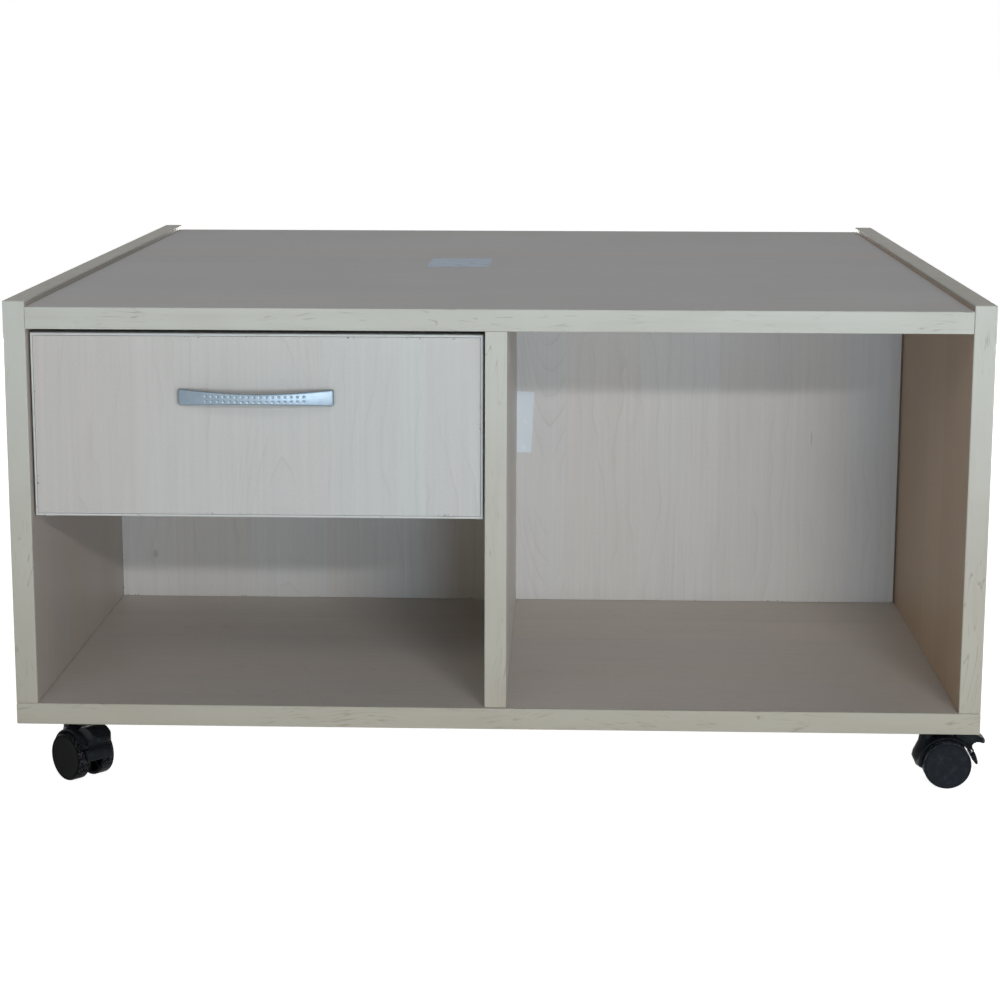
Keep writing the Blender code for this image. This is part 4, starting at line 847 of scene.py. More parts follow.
@dataclass(frozen=True)
class Fibreboard:
    """Thin printed fibreboard."""

    light: Colour = (0.50, 0.47, 0.42)
    dark: Colour = (0.43, 0.39, 0.34)
    fibre: Colour = (0.25, 0.21, 0.17)
    fibre_share: float = 0.3
    streaks: Point = (6.0, 160.0, 1.0)
    roughness: Pair = (0.5, 0.66)
    relief: float = 0.04 * MM

    def make(self) -> Material:
        """The material."""
        w, shader, place, made = start_material("fibreboard")
        fibres = w.noise(place, 900.0, 4.0)
        streaks = w.add("ShaderNodeMapping", {"Vector": place, "Scale": self.streaks}).outputs[0]
        colour = w.mix(w.span(w.noise(streaks, 1.0, 3.0), 0.35, 0.7), self.light, self.dark)
        w.feed_all(shader, {
            "Base Color": w.mix(w.span(fibres, 0.5, 0.8, 0.0, self.fibre_share), colour, self.fibre),
            "Roughness": w.span(fibres, 0.2, 0.8, *self.roughness),
        })
        raise_surface(w, shader, fibres, self.relief, 0.6)
        return made


# Meshes


def new_piece(name: str, mesh: Mesh, material: Material | None = None) -> Thing:
    """An object for a finished mesh, at the origin."""
    made = bpy.data.objects.new(name, mesh)
    bpy.context.scene.collection.objects.link(made)
    if material:
        wear(made, material)
    return made


def shade(mesh: Mesh, sharp: float = SHARP_ANGLE) -> None:
    """Shades a mesh smooth, apart from the corners above an angle in degrees."""
    mesh.shade_smooth()
    mesh.set_sharp_from_angle(angle=math.radians(sharp))


def to_mesh(bm: bmesh.types.BMesh, name: str, sharp: float = SHARP_ANGLE) -> Mesh:
    """A smooth mesh from an edited one, with its sharp corners kept.

    Args:
        bm: the edited mesh, which is freed.
        name: the mesh's name.
        sharp: corners above this angle, in degrees, stay sharp.

    Returns:
        The mesh.
    """
    bmesh.ops.recalc_face_normals(bm, faces=bm.faces)
    mesh = bpy.data.meshes.new(name)
    bm.to_mesh(mesh)
    bm.free()
    shade(mesh, sharp)
    return mesh


def merged_copy(node: str, body: str, material: Material, sharp: float = SHARP_ANGLE) -> None:
    """Adds a smooth copy of a node, which stands for it.

    Args:
        node: the node's name.
        body: the body that it rides on.
        material: its finish.
        sharp: corners above this angle, in degrees, stay sharp.
    """
    bm = bmesh.new()
    bm.from_mesh(bpy.data.objects[node].data)
    bmesh.ops.remove_doubles(bm, verts=bm.verts, dist=WELD_REACH)
    bmesh.ops.dissolve_limit(bm, angle_limit=math.radians(FLAT_ANGLE), verts=bm.verts, edges=bm.edges)
    piece = new_piece(f"{node}_smooth", to_mesh(bm, f"{node}_smooth", sharp), material)
    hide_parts(node)
    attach(piece, body)


def lathe(bm: bmesh.types.BMesh, profile: Sequence[Pair], steps: int, place: Matrix) -> None:
    """Turns a profile of (radius, height) points about Z into a closed solid and adds it to a mesh.

    Args:
        bm: the mesh that is added to.
        profile: the points, from the axis back to the axis.
        steps: how many steps one turn has.
        place: where the solid goes.
    """
    turns = [2 * math.pi * i / steps for i in range(steps)]
    rings = []
    for radius, height in profile:
        points = [(0, 0, height)]
        if radius:
            points = [(radius * math.cos(t), radius * math.sin(t), height) for t in turns]
        rings.append([bm.verts.new(place @ Vector(point)) for point in points])
    for upper, lower in zip(rings, rings[1:]):
        for i in range(steps):
            j = (i + 1) % steps
            corners = [
                upper[i % len(upper)], upper[j % len(upper)], lower[j % len(lower)], lower[i % len(lower)]
            ]
            unique = list(dict.fromkeys(corners))
            if len(unique) > 2:
                bm.faces.new(unique)


# Geometry trees


def start_tree(name: str, inputs: Titles) -> tuple[Wiring, dict, dict]:
    """Starts a geometry tree with its inputs' names by their kind, a material and one geometry to put out."""
    wanted = inputs | {Kind.MATERIAL: ("Material",)}
    return start_group(name, "GeometryNodeTree", wanted, {Kind.GEOMETRY: ("Geometry",)})


def end_tree(w: Wiring, into: dict, out: dict, geometry: Socket) -> Tree:
    """Ends a tree with real geometry in its one material."""
    real = w.add("GeometryNodeRealizeInstances", {0: geometry})
    painted = w.add("GeometryNodeSetMaterial", {0: real.outputs[0], 2: into["Material"]})
    w.feed(out["Geometry"], painted.outputs[0])
    return w.tree


def place_copies(w: Wiring, points: Node, copy: Node | Socket, turn: Node) -> Socket:
    """Places a copy of a geometry, turned, on each point."""
    thing = copy if isinstance(copy, Socket) else copy.outputs[0]
    feeds = {"Points": points.outputs[0], "Instance": thing, "Rotation": turn.outputs[0]}
    return w.add("GeometryNodeInstanceOnPoints", feeds).outputs[0]


def lift(w: Wiring, geometry: Socket, height: object) -> Socket:
    """A geometry moved up."""
    return w.add("GeometryNodeTransform", {0: geometry, "Translation": w.join(z=height)}).outputs[0]


def unite(w: Wiring, first: Socket, second: Socket) -> Socket:
    """Two solids as one."""
    both = w.add("GeometryNodeMeshBoolean", {"Mesh": first}, operation="UNION", solver="EXACT")
    w.feed(both.inputs["Mesh"], second)
    return both.outputs[0]


@dataclass(frozen=True)
class HeadShape:
    """A screw's head, as shares of its radius and height."""

    steps: int = 24
    crown_top_share: float = 0.72
    crown_share: float = 0.45
    crown_start_share: float = 0.55
    disc_share: float = 0.6
    disc_middle_share: float = 0.25
    recess_length_share: float = 1.1
    recess_width_share: float = 0.26


class Repeats:
    """The geometry trees for what repeats or follows a path."""

    def __init__(self) -> None:
        """Builds each tree once."""
        self.head = HeadShape()
        self.screws = self._screws()
        self.dimples = self._dimples()
        self.bead = self._bead()
        self.ribs = self._ribs()

    def _screws(self) -> Tree:
        """A low cross-recessed head on each point, which faces along the point's facing attribute."""
        floats = ("Head radius", "Head height", "Recess length", "Recess width")
        w, into, out = start_tree("Screw heads", {Kind.GEOMETRY: ("Geometry",), Kind.FLOAT: floats})
        radius, height = into["Head radius"], into["Head height"]
        shape = self.head
        crown = w.add("GeometryNodeMeshCone", {
            "Vertices": shape.steps, "Side Segments": 1, "Radius Top": w.times(radius, shape.crown_top_share),
            "Radius Bottom": radius, "Depth": w.times(height, shape.crown_share),
        }, fill_type="NGON")
        crown_up = lift(w, crown.outputs[0], w.times(height, shape.crown_start_share))
        disc_feeds = {"Vertices": shape.steps, "Radius": radius, "Depth": w.times(height, shape.disc_share)}
        disc = w.add("GeometryNodeMeshCylinder", disc_feeds)
        disc_up = lift(w, disc.outputs[0], w.times(height, shape.disc_middle_share))
        head = unite(w, crown_up, disc_up)
        long, wide = into["Recess length"], into["Recess width"]
        flat = w.add("GeometryNodeMeshCube", {"Size": w.join(long, wide, height)})
        upright = w.add("GeometryNodeMeshCube", {"Size": w.join(wide, long, height)})
        cross_up = lift(w, unite(w, flat.outputs[0], upright.outputs[0]), height)
        cut_feeds = {"Mesh 1": head, "Mesh 2": cross_up}
        cut = w.add("GeometryNodeMeshBoolean", cut_feeds, operation="DIFFERENCE", solver="EXACT")
        facing = w.add("GeometryNodeInputNamedAttribute", {"Name": "facing"}, data_type="FLOAT_VECTOR")
        turn = w.add("FunctionNodeAlignRotationToVector", {"Vector": facing.outputs[0]}, axis="Z")
        points = w.add("GeometryNodeMeshToPoints", {0: into["Geometry"]})
        return end_tree(w, into, out, place_copies(w, points, cut, turn))

    def _dimples(self) -> Tree:
        """Presses two rows of round dimples into the front of a bow."""
        floats = ("Pitch", "Columns each side", "Row offset", "Dimple radius", "Depth")
        inputs = {Kind.GEOMETRY: ("Geometry",), Kind.VECTOR: ("Centre",), Kind.FLOAT: floats}
        w, into, out = start_tree("Pressed dimples", inputs)
        steepness, front_limit = 1.2, -0.4
        place = w.add("GeometryNodeInputPosition").outputs[0]
        normal = w.add("GeometryNodeInputNormal").outputs[0]
        axes = w.axes(w.vector("SUBTRACT", place, into["Centre"]))
        step = w.calc("ROUND", w.calc("DIVIDE", axes[0], into["Pitch"]))
        limit = into["Columns each side"]
        step = w.calc("MINIMUM", w.calc("MAXIMUM", step, w.times(limit, -1.0)), limit)
        along = w.minus(axes[0], w.times(step, into["Pitch"]))
        across = w.minus(w.calc("ABSOLUTE", axes[2]), into["Row offset"])
        apart = w.calc("SQRT", w.plus(w.times(along, along), w.times(across, across)))
        share = w.calc("DIVIDE", apart, into["Dimple radius"])
        bowl = w.minus(1.0, w.times(share, share), clamp=True)
        faces_out = w.calc("LESS_THAN", w.axes(normal)[1], front_limit)
        press = w.times(w.times(w.calc("POWER", bowl, steepness), into["Depth"]), faces_out)
        sink = w.add("ShaderNodeVectorMath", {0: normal, "Scale": w.times(press, -1.0)}, operation="SCALE")
        moved = w.add("GeometryNodeSetPosition", {"Geometry": into["Geometry"], "Offset": sink.outputs[0]})
        return end_tree(w, into, out, moved.outputs[0])

    def _bead(self) -> Tree:
        """A round bead along an arc that lies in the XY plane."""
        w, into, out = start_tree("Arc bead", {Kind.FLOAT: ("Arc radius", "Start", "Sweep", "Bead radius")})
        arc = w.add("GeometryNodeCurveArc", {
            "Resolution": 48, "Radius": into["Arc radius"],
            "Start Angle": into["Start"], "Sweep Angle": into["Sweep"],
        })
        ring = w.add("GeometryNodeCurvePrimitiveCircle", {"Resolution": 10, "Radius": into["Bead radius"]})
        feeds = {"Curve": arc.outputs[0], "Profile Curve": ring.outputs[0], "Fill Caps": True}
        return end_tree(w, into, out, w.add("GeometryNodeCurveToMesh", feeds).outputs[0])

    def _ribs(self) -> Tree:
        """Flat ribs that stand round an axis."""
        floats = ("Inner radius", "Outer radius", "Thickness", "Height")
        w, into, out = start_tree("Wheel ribs", {Kind.COUNT: ("Count",), Kind.FLOAT: floats})
        length = w.minus(into["Outer radius"], into["Inner radius"])
        middle = w.times(w.plus(into["Outer radius"], into["Inner radius"]), 0.5)
        rib = w.add("GeometryNodeMeshCube", {"Size": w.join(into["Thickness"], length, into["Height"])})
        ring = w.add("GeometryNodeMeshCircle", {"Vertices": into["Count"], "Radius": middle})
        place = w.add("GeometryNodeInputPosition").outputs[0]
        turn = w.add("FunctionNodeAlignRotationToVector", {"Vector": place}, axis="Y")
        return end_tree(w, into, out, place_copies(w, ring, rib, turn))


def run_tree(name: str, mesh: Mesh, tree: Tree, values: dict[str, object]) -> Mesh:
    """Runs a geometry tree on a mesh.

    Args:
        name: the name of the mesh that is made.
        mesh: what the tree starts from.
        tree: the geometry tree.
        values: its inputs by name.

    Returns:
        The plain mesh that the tree makes.
    """
    carrier = new_piece(f"{name}_carrier", mesh)
    step = carrier.modifiers.new("Repeat", "NODES")
    step.node_group = tree
    sockets = {item.name: item.identifier for item in tree.interface.items_tree if item.in_out == "INPUT"}
    for title, value in values.items():
        step[sockets[title]] = value
    bpy.context.view_layer.update()
    seen = carrier.evaluated_get(bpy.context.evaluated_depsgraph_get())
    made = bpy.data.meshes.new_from_object(seen)
    made.name = name
    bpy.data.objects.remove(carrier, do_unlink=True)
    shade(made)
    return made


def screw_heads(
    name: str, trees: Repeats, material: Material, places: Sequence[Point], facing: Facing, size: Pair
) -> None:
    """Adds a set of screw heads as one piece of the carcass.

    Args:
        name: the piece's name.
        trees: the geometry trees.
        material: the screws' finish.
        places: where each head sits.
        facing: the way the heads face.
        size: the head's radius, and how far it stands out.
    """
    points = bpy.data.meshes.new(f"{name}_points")
    points.from_pydata([tuple(p) for p in places], [], [])
    attribute = points.attributes.new("facing", "FLOAT_VECTOR", "POINT")
    for item in attribute.data:
        item.vector = facing.value
    radius, height = size
    values = {
        "Head radius": radius, "Head height": height,
        "Recess length": radius * trees.head.recess_length_share,
        "Recess width": radius * trees.head.recess_width_share, "Material": material,
    }
    piece = new_piece(name, run_tree(name, points, trees.screws, values))
    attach(piece, "carcass")


# Sub-assemblies


@dataclass
class Carcass:
    """The boards, their edging and what is fixed to them. Corners of the sheets are in millimetres."""

    nodes: dict[str, Thing]
    fx: Effects
    zinc: Material
    wood: Laminate = Laminate(cool=(0.54, 0.53, 0.505), warm=(0.555, 0.52, 0.475), line_depth=0.22)
    # Painted shade: the side panels' laminate is darker than the same laminate on the other boards, and the
    # right one browner, because their inner faces lie in shade.
    left_wood_painted_shade: Laminate = Laminate(cool=(0.39, 0.35, 0.31), warm=(0.40, 0.345, 0.295), line_depth=0.2)
    right_wood_painted_shade: Laminate = Laminate(cool=(0.49, 0.365, 0.25), warm=(0.50, 0.355, 0.235), line_depth=0.2)
    top_wood: Laminate = Laminate(
        cool=(0.535, 0.53, 0.53), warm=(0.545, 0.525, 0.505), roughness=0.56, line_depth=0.08,
        tone_depth=0.03, dirt_share=0.04, shine=0.03,
    )
    # Painted light: the bottom panel's laminate is lighter than the same laminate on the other boards.
    floor_wood_painted_light: Laminate = Laminate(
        cool=(0.635, 0.59, 0.545), warm=(0.64, 0.585, 0.52), line_depth=0.16, tone_depth=0.06
    )
    partition_planks: tuple[Plank, ...] = (
        Plank(53 * MM, 0.70, 0.40),
        Plank(74 * MM, 0.40, 0.60),
        Plank(75 * MM, 0.60, 0.15, Bend.ARCHED_UP),
        Plank(77 * MM, 0.40, 0.60),
        Plank(78 * MM, 0.60, 0.40),
        Plank(81 * MM, 0.85, 0.20, Bend.ARCHED_DOWN, 0.82),
        Plank(71.6 * MM, 0.60, 0.70),
        Plank(78.2 * MM, 0.62, 0.30),
        Plank(71.3 * MM, 0.30, 0.60),
        Plank(52.5 * MM, 0.55, 0.85),
        Plank(52.4 * MM, 0.40, 0.30),
    )
    plank_count: int = 11
    seam_inset: float = 0.6 * MM
    strip: EdgingStrip = EdgingStrip()
    label_paper: Paper = Paper("label_paper", (0.66, 0.72, 0.74), (0.72, 0.76, 0.77), 0.0)
    label_corners: tuple[Pair, ...] = ((9.4, 279.5), (26.4, 278.8), (23.4, 218.8), (9.4, 219.0))
    sticker_paper: Paper = Paper("sticker_paper", (0.61, 0.70, 0.80), (0.50, 0.55, 0.61), 0.12)
    sticker_corners: tuple[Pair, ...] = ((-76.5, -40.9), (-16.6, -40.0), (-16.5, 48.4), (-75.2, 45.5))
    paper_gap: float = 0.08 * MM
    paper_thickness: float = 0.16 * MM

    def build(self) -> None:
        """Dresses every board and adds the small pieces."""
        upright = {
            "left_side_panel": self.left_wood_painted_shade, "right_side_panel": self.right_wood_painted_shade,
            "front_divider": self.wood, "rear_divider": self.wood,
        }
        for i, (name, wood) in enumerate(upright.items()):
            planks = mixed_planks(3 + i, self.plank_count)
            wood.dress(self.fx, self.nodes[name], Grain.UPRIGHT, planks, 1.0 + 2.3 * i)
        low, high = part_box("centre_partition")
        seam = high.x - self.seam_inset
        partition = self.nodes["centre_partition"]
        self.wood.dress(self.fx, partition, Grain.UPRIGHT, self.partition_planks, 5.6, seam)
        level = {"top_panel": self.top_wood, "bottom_panel": self.floor_wood_painted_light}
        for i, (name, wood) in enumerate(level.items()):
            planks = mixed_planks(21 + i, self.plank_count)
            wood.dress(self.fx, self.nodes[name], Grain.SIDEWAYS, planks, 14.0 + 3.1 * i)
        strips = {
            "bottom_panel": Run.LEVEL, "top_panel_front": Run.LEVEL, "top_panel_rear": Run.LEVEL,
            "left_side": Run.ROUND_SIDE, "right_side": Run.ROUND_SIDE,
            "front_divider": Run.UPRIGHT, "rear_divider": Run.UPRIGHT,
        }
        for i, (name, run) in enumerate(strips.items()):
            self.strip.dress(self.fx, self.nodes[f"{name}_edging"], run, 0.7 + 1.9 * i)
        for side in ("front", "rear"):
            merged_copy(f"{side}_divider_cam", "carcass", self.zinc)
            merged_copy(f"{side}_divider_cam_bolt", "carcass", self.zinc)
        label = [Vector((x * MM, low.y - self.paper_gap, z * MM)) for x, z in self.label_corners]
        self.sheet("partition_label", label, Vector((0, -self.paper_thickness, 0)), self.label_paper)
        _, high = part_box("top_panel")
        sticker = [Vector((x * MM, y * MM, high.z + self.paper_gap)) for x, y in self.sticker_corners]
        self.sheet("top_sticker", sticker, Vector((0, 0, self.paper_thickness)), self.sticker_paper)
        LOG.info("carcass dressed")

    def sheet(self, name: str, outline: Sequence[Vector], rise: Vector, paper: Paper) -> None:
        """Adds a blank sheet of paper that is stuck to a board.

        Args:
            name: the piece's name.
            outline: its corners, on the board.
            rise: its thickness, away from the board.
            paper: its finish.
        """
        bm = bmesh.new()
        face = bm.faces.new([bm.verts.new(p) for p in outline])
        raised = bmesh.ops.extrude_face_region(bm, geom=[face])
        moved = [item for item in raised["geom"] if isinstance(item, bmesh.types.BMVert)]
        bmesh.ops.translate(bm, verts=moved, vec=rise)
        piece = new_piece(name, to_mesh(bm, name), paper.make())
        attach(piece, "carcass")


@dataclass
class Handle:
    """The dimpled bow handle. Its sizes are the CAD model's, and it stands for the CAD node."""

    trees: Repeats
    finish: Material
    end_height: float = 13.5 * MM
    waist_height: float = 8.7 * MM
    middle_reach: float = 17 * MM
    end_reach: float = 5 * MM
    thickness: float = 3 * MM
    crown: float = 0.45 * MM
    edge: float = 1.0 * MM
    edge_turns: Point = (22.5, 45.0, 67.5)
    end_round: float = 1.4 * MM
    end_turns: Point = (30, 60, 90)
    back_shrink_share: float = 0.4
    front_shrink_share: float = 0.5
    swell_power: float = 1.7
    stations: int = 300
    front_steps: int = 26
    sharp: float = 50.0
    screw_spacing: float = 96 * MM
    boss_radius: float = 4.5 * MM
    boss_gap: float = 0.3 * MM
    boss_steps: int = 32
    dimple_columns: int = 17
    dimple_pitch: float = 5 * MM
    dimple_row_offset: float = 2 * MM
    dimple_radius: float = 1.25 * MM
    dimple_depth: float = 0.6 * MM

    def reach(self, share: float) -> float:
        """How far the bow stands out at a share of the way from its middle to its end."""
        return self.middle_reach - (self.middle_reach - self.end_reach) * share**2

    def section(self, x: float, half: float, shrink: float) -> list[Pair]:
        """The section at a place along the handle.

        Args:
            x: the distance from its middle.
            half: half the handle's length.
            shrink: how far its outline draws in.

        Returns:
            The outline as (height, reach) points, front first.
        """
        share = abs(x) / half
        swell = (self.end_height - self.waist_height) * share**self.swell_power
        tall = (self.waist_height + swell) / 2 - shrink
        back = self.reach(share) - self.thickness + shrink * self.back_shrink_share
        front = self.reach(share) - shrink * self.front_shrink_share
        turns = [math.radians(turn) for turn in self.edge_turns]
        rounding = [(self.edge * (1 - math.cos(t)), front - self.edge * (1 - math.sin(t))) for t in turns]
        points = [(-tall, back), (-tall, front - self.edge)]
        points += [(-tall + inward, out) for inward, out in rounding]
        for i in range(self.front_steps + 1):
            up = (tall - self.edge) * (2 * i / self.front_steps - 1)
            points.append((up, front + self.crown * (1 - (up / tall) ** 2)))
        points += [(tall - inward, out) for inward, out in reversed(rounding)]
        points += [(tall, front - self.edge), (tall, back)]
        return points

    def bow(self, centre: Vector, half: float) -> Mesh:
        """The plain bow, lofted through its sections.

        Args:
            centre: the middle of the handle's foot.
            half: half the handle's length.

        Returns:
            The mesh.
        """
        inner = half - self.end_round
        places = [(-inner + 2 * inner * i / self.stations, 0.0) for i in range(self.stations + 1)]
        for turn in (math.radians(t) for t in self.end_turns):
            out, shrink = self.end_round * math.sin(turn), self.end_round * (1 - math.cos(turn))
            places.append((inner + out, shrink))
            places.insert(0, (-inner - out, shrink))
        bm = bmesh.new()
        rings = []
        for x, shrink in places:
            outline = self.section(x, half, shrink)
            rings.append([bm.verts.new(centre + Vector((x, -out, up))) for up, out in outline])
        for before, after in zip(rings, rings[1:]):
            for i, corner in enumerate(before):
                j = (i + 1) % len(before)
                bm.faces.new((corner, before[j], after[j], after[i]))
        bm.faces.new(rings[0])
        bm.faces.new(rings[-1])
        return to_mesh(bm, "handle_bow", self.sharp)

    def build(self) -> None:
        """Lofts the bow, presses its dimples and stands it in for the CAD handle."""
        low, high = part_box("drawer_handle")
        front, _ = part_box("drawer_front")
        half = (high.x - low.x) / 2
        centre = Vector(((low.x + high.x) / 2, front.y, (low.z + high.z) / 2))
        values = {
            "Centre": centre, "Pitch": self.dimple_pitch, "Columns each side": (self.dimple_columns - 1) / 2,
            "Row offset": self.dimple_row_offset, "Dimple radius": self.dimple_radius,
            "Depth": self.dimple_depth, "Material": self.finish,
        }
        bm = bmesh.new()
        bm.from_mesh(run_tree("handle_bow_dimpled", self.bow(centre, half), self.trees.dimples, values))
        depth = self.reach(self.screw_spacing / 2 / half) - self.thickness / 2
        profile = ((0, 0), (self.boss_radius, 0), (self.boss_radius, depth), (0, depth))
        for side in (-1, 1):
            foot = Matrix.Translation(centre + Vector((side * self.screw_spacing / 2, -self.boss_gap, 0)))
            lathe(bm, profile, self.boss_steps, foot @ Matrix.Rotation(QUARTER_TURN, 4, "X"))
        piece = new_piece("bow_handle", to_mesh(bm, "bow_handle", self.sharp), self.finish)
        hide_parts("drawer_handle")
        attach(piece, "drawer")
        LOG.info("bow handle pressed with %d dimples", 2 * self.dimple_columns)


@dataclass
class Drawer:
    """The drawer's boards, its handle and its runners."""

    nodes: dict[str, Thing]
    fx: Effects
    trees: Repeats
    zinc: Material
    front_wood: Laminate = Laminate(
        cool=(0.45, 0.465, 0.445), warm=(0.485, 0.46, 0.43), line_depth=0.22, dirt_share=0.02
    )
    box_wood: Laminate = Laminate(cool=(0.55, 0.55, 0.53), warm=(0.56, 0.53, 0.49))
    front_planks: tuple[Plank, ...] = (
        Plank(81.5 * MM, 0.12, 0.80),
        Plank(81.7 * MM, 0.50, 0.52),
        Plank(78.1 * MM, 0.48, 0.42, Bend.ARCHED_UP),
        Plank(59.0 * MM, 0.70, 0.30),
        Plank(23.8 * MM, 1.00, 0.0),
        Plank(45.9 * MM, 0.55, 0.38),
    )
    # The drawer's rim strip gets the same painted shade by height, in its own colours.
    rim_strip: EdgingStrip = EdgingStrip(
        ground=(0.55, 0.57, 0.55), painted_shade=(0.50, 0.51, 0.48), stroke=(0.30, 0.28, 0.25), shine=0.2
    )
    runner_finish: Plated = Plated(
        "runner_enamel", (0.70, 0.70, 0.68), (0.58, 0.58, 0.56), metal=0.15, roughness=0.34
    )
    roller_finish: Moulded = Moulded("roller_nylon_skin", (0.72, 0.72, 0.69), (0.50, 0.48, 0.44), 0.3, 1800.0)
    runner_web: float = 1.5 * MM
    screw_size: Pair = (2.9 * MM, 0.25 * MM)
    screw_sink: float = 0.3 * MM
    screw_drop: float = 10 * MM
    screw_start: float = 34 * MM
    screw_margins: float = 60 * MM
    screw_count: int = 3

    def build(self) -> None:
        """Dresses the drawer."""
        self.front_wood.dress(self.fx, self.nodes["drawer_front"], Grain.UPRIGHT, self.front_planks, 31.0)
        for i, name in enumerate(("drawer_left_side", "drawer_right_side", "drawer_back")):
            planks = mixed_planks(41 + i, 2)
            self.box_wood.dress(self.fx, self.nodes[name], Grain.SIDEWAYS, planks, 41.0 + 1.7 * i)
        wear(self.nodes["drawer_bottom"], Fibreboard().make())
        self.rim_strip.dress(self.fx, self.nodes["drawer_front_edging"], Run.ROUND_FRONT, 5.3)
        for side in ("left", "right"):
            merged_copy(f"handle_screw_{side}", "drawer", self.zinc)
        Handle(self.trees, Lacquered().make()).build()
        self.runners()
        LOG.info("drawer dressed")

    def runners(self) -> None:
        """Dresses the runners and their rollers and adds their screws."""
        steel, nylon = self.runner_finish.make(self.fx), self.roller_finish.make(self.fx)
        for side, facing in (("left", Facing.RIGHT), ("right", Facing.LEFT)):
            for half in ("cabinet", "drawer"):
                wear(self.nodes[f"{half}_runner_{side}"], steel)
            for end in ("front", "rear"):
                merged_copy(f"{end}_roller_{side}", f"{end}_{side}_roller", nylon)
            self.cabinet_screws(side, facing)

    def cabinet_screws(self, side: str, facing: Facing) -> None:
        """The flat-headed screws through one fixed runner's web."""
        low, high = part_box(f"cabinet_runner_{side}")
        _, roller_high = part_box(f"rear_roller_{side}")
        inset = self.runner_web - self.screw_sink
        x = low.x + inset if side == "left" else high.x - inset
        start, reach = low.y + self.screw_start, high.y - low.y - self.screw_margins
        shares = [i / (self.screw_count - 1) for i in range(self.screw_count)]
        places = [(x, start + reach * share, roller_high.z - self.screw_drop) for share in shares]
        screw_heads(f"cabinet_runner_screws_{side}", self.trees, self.zinc, places, facing, self.screw_size)


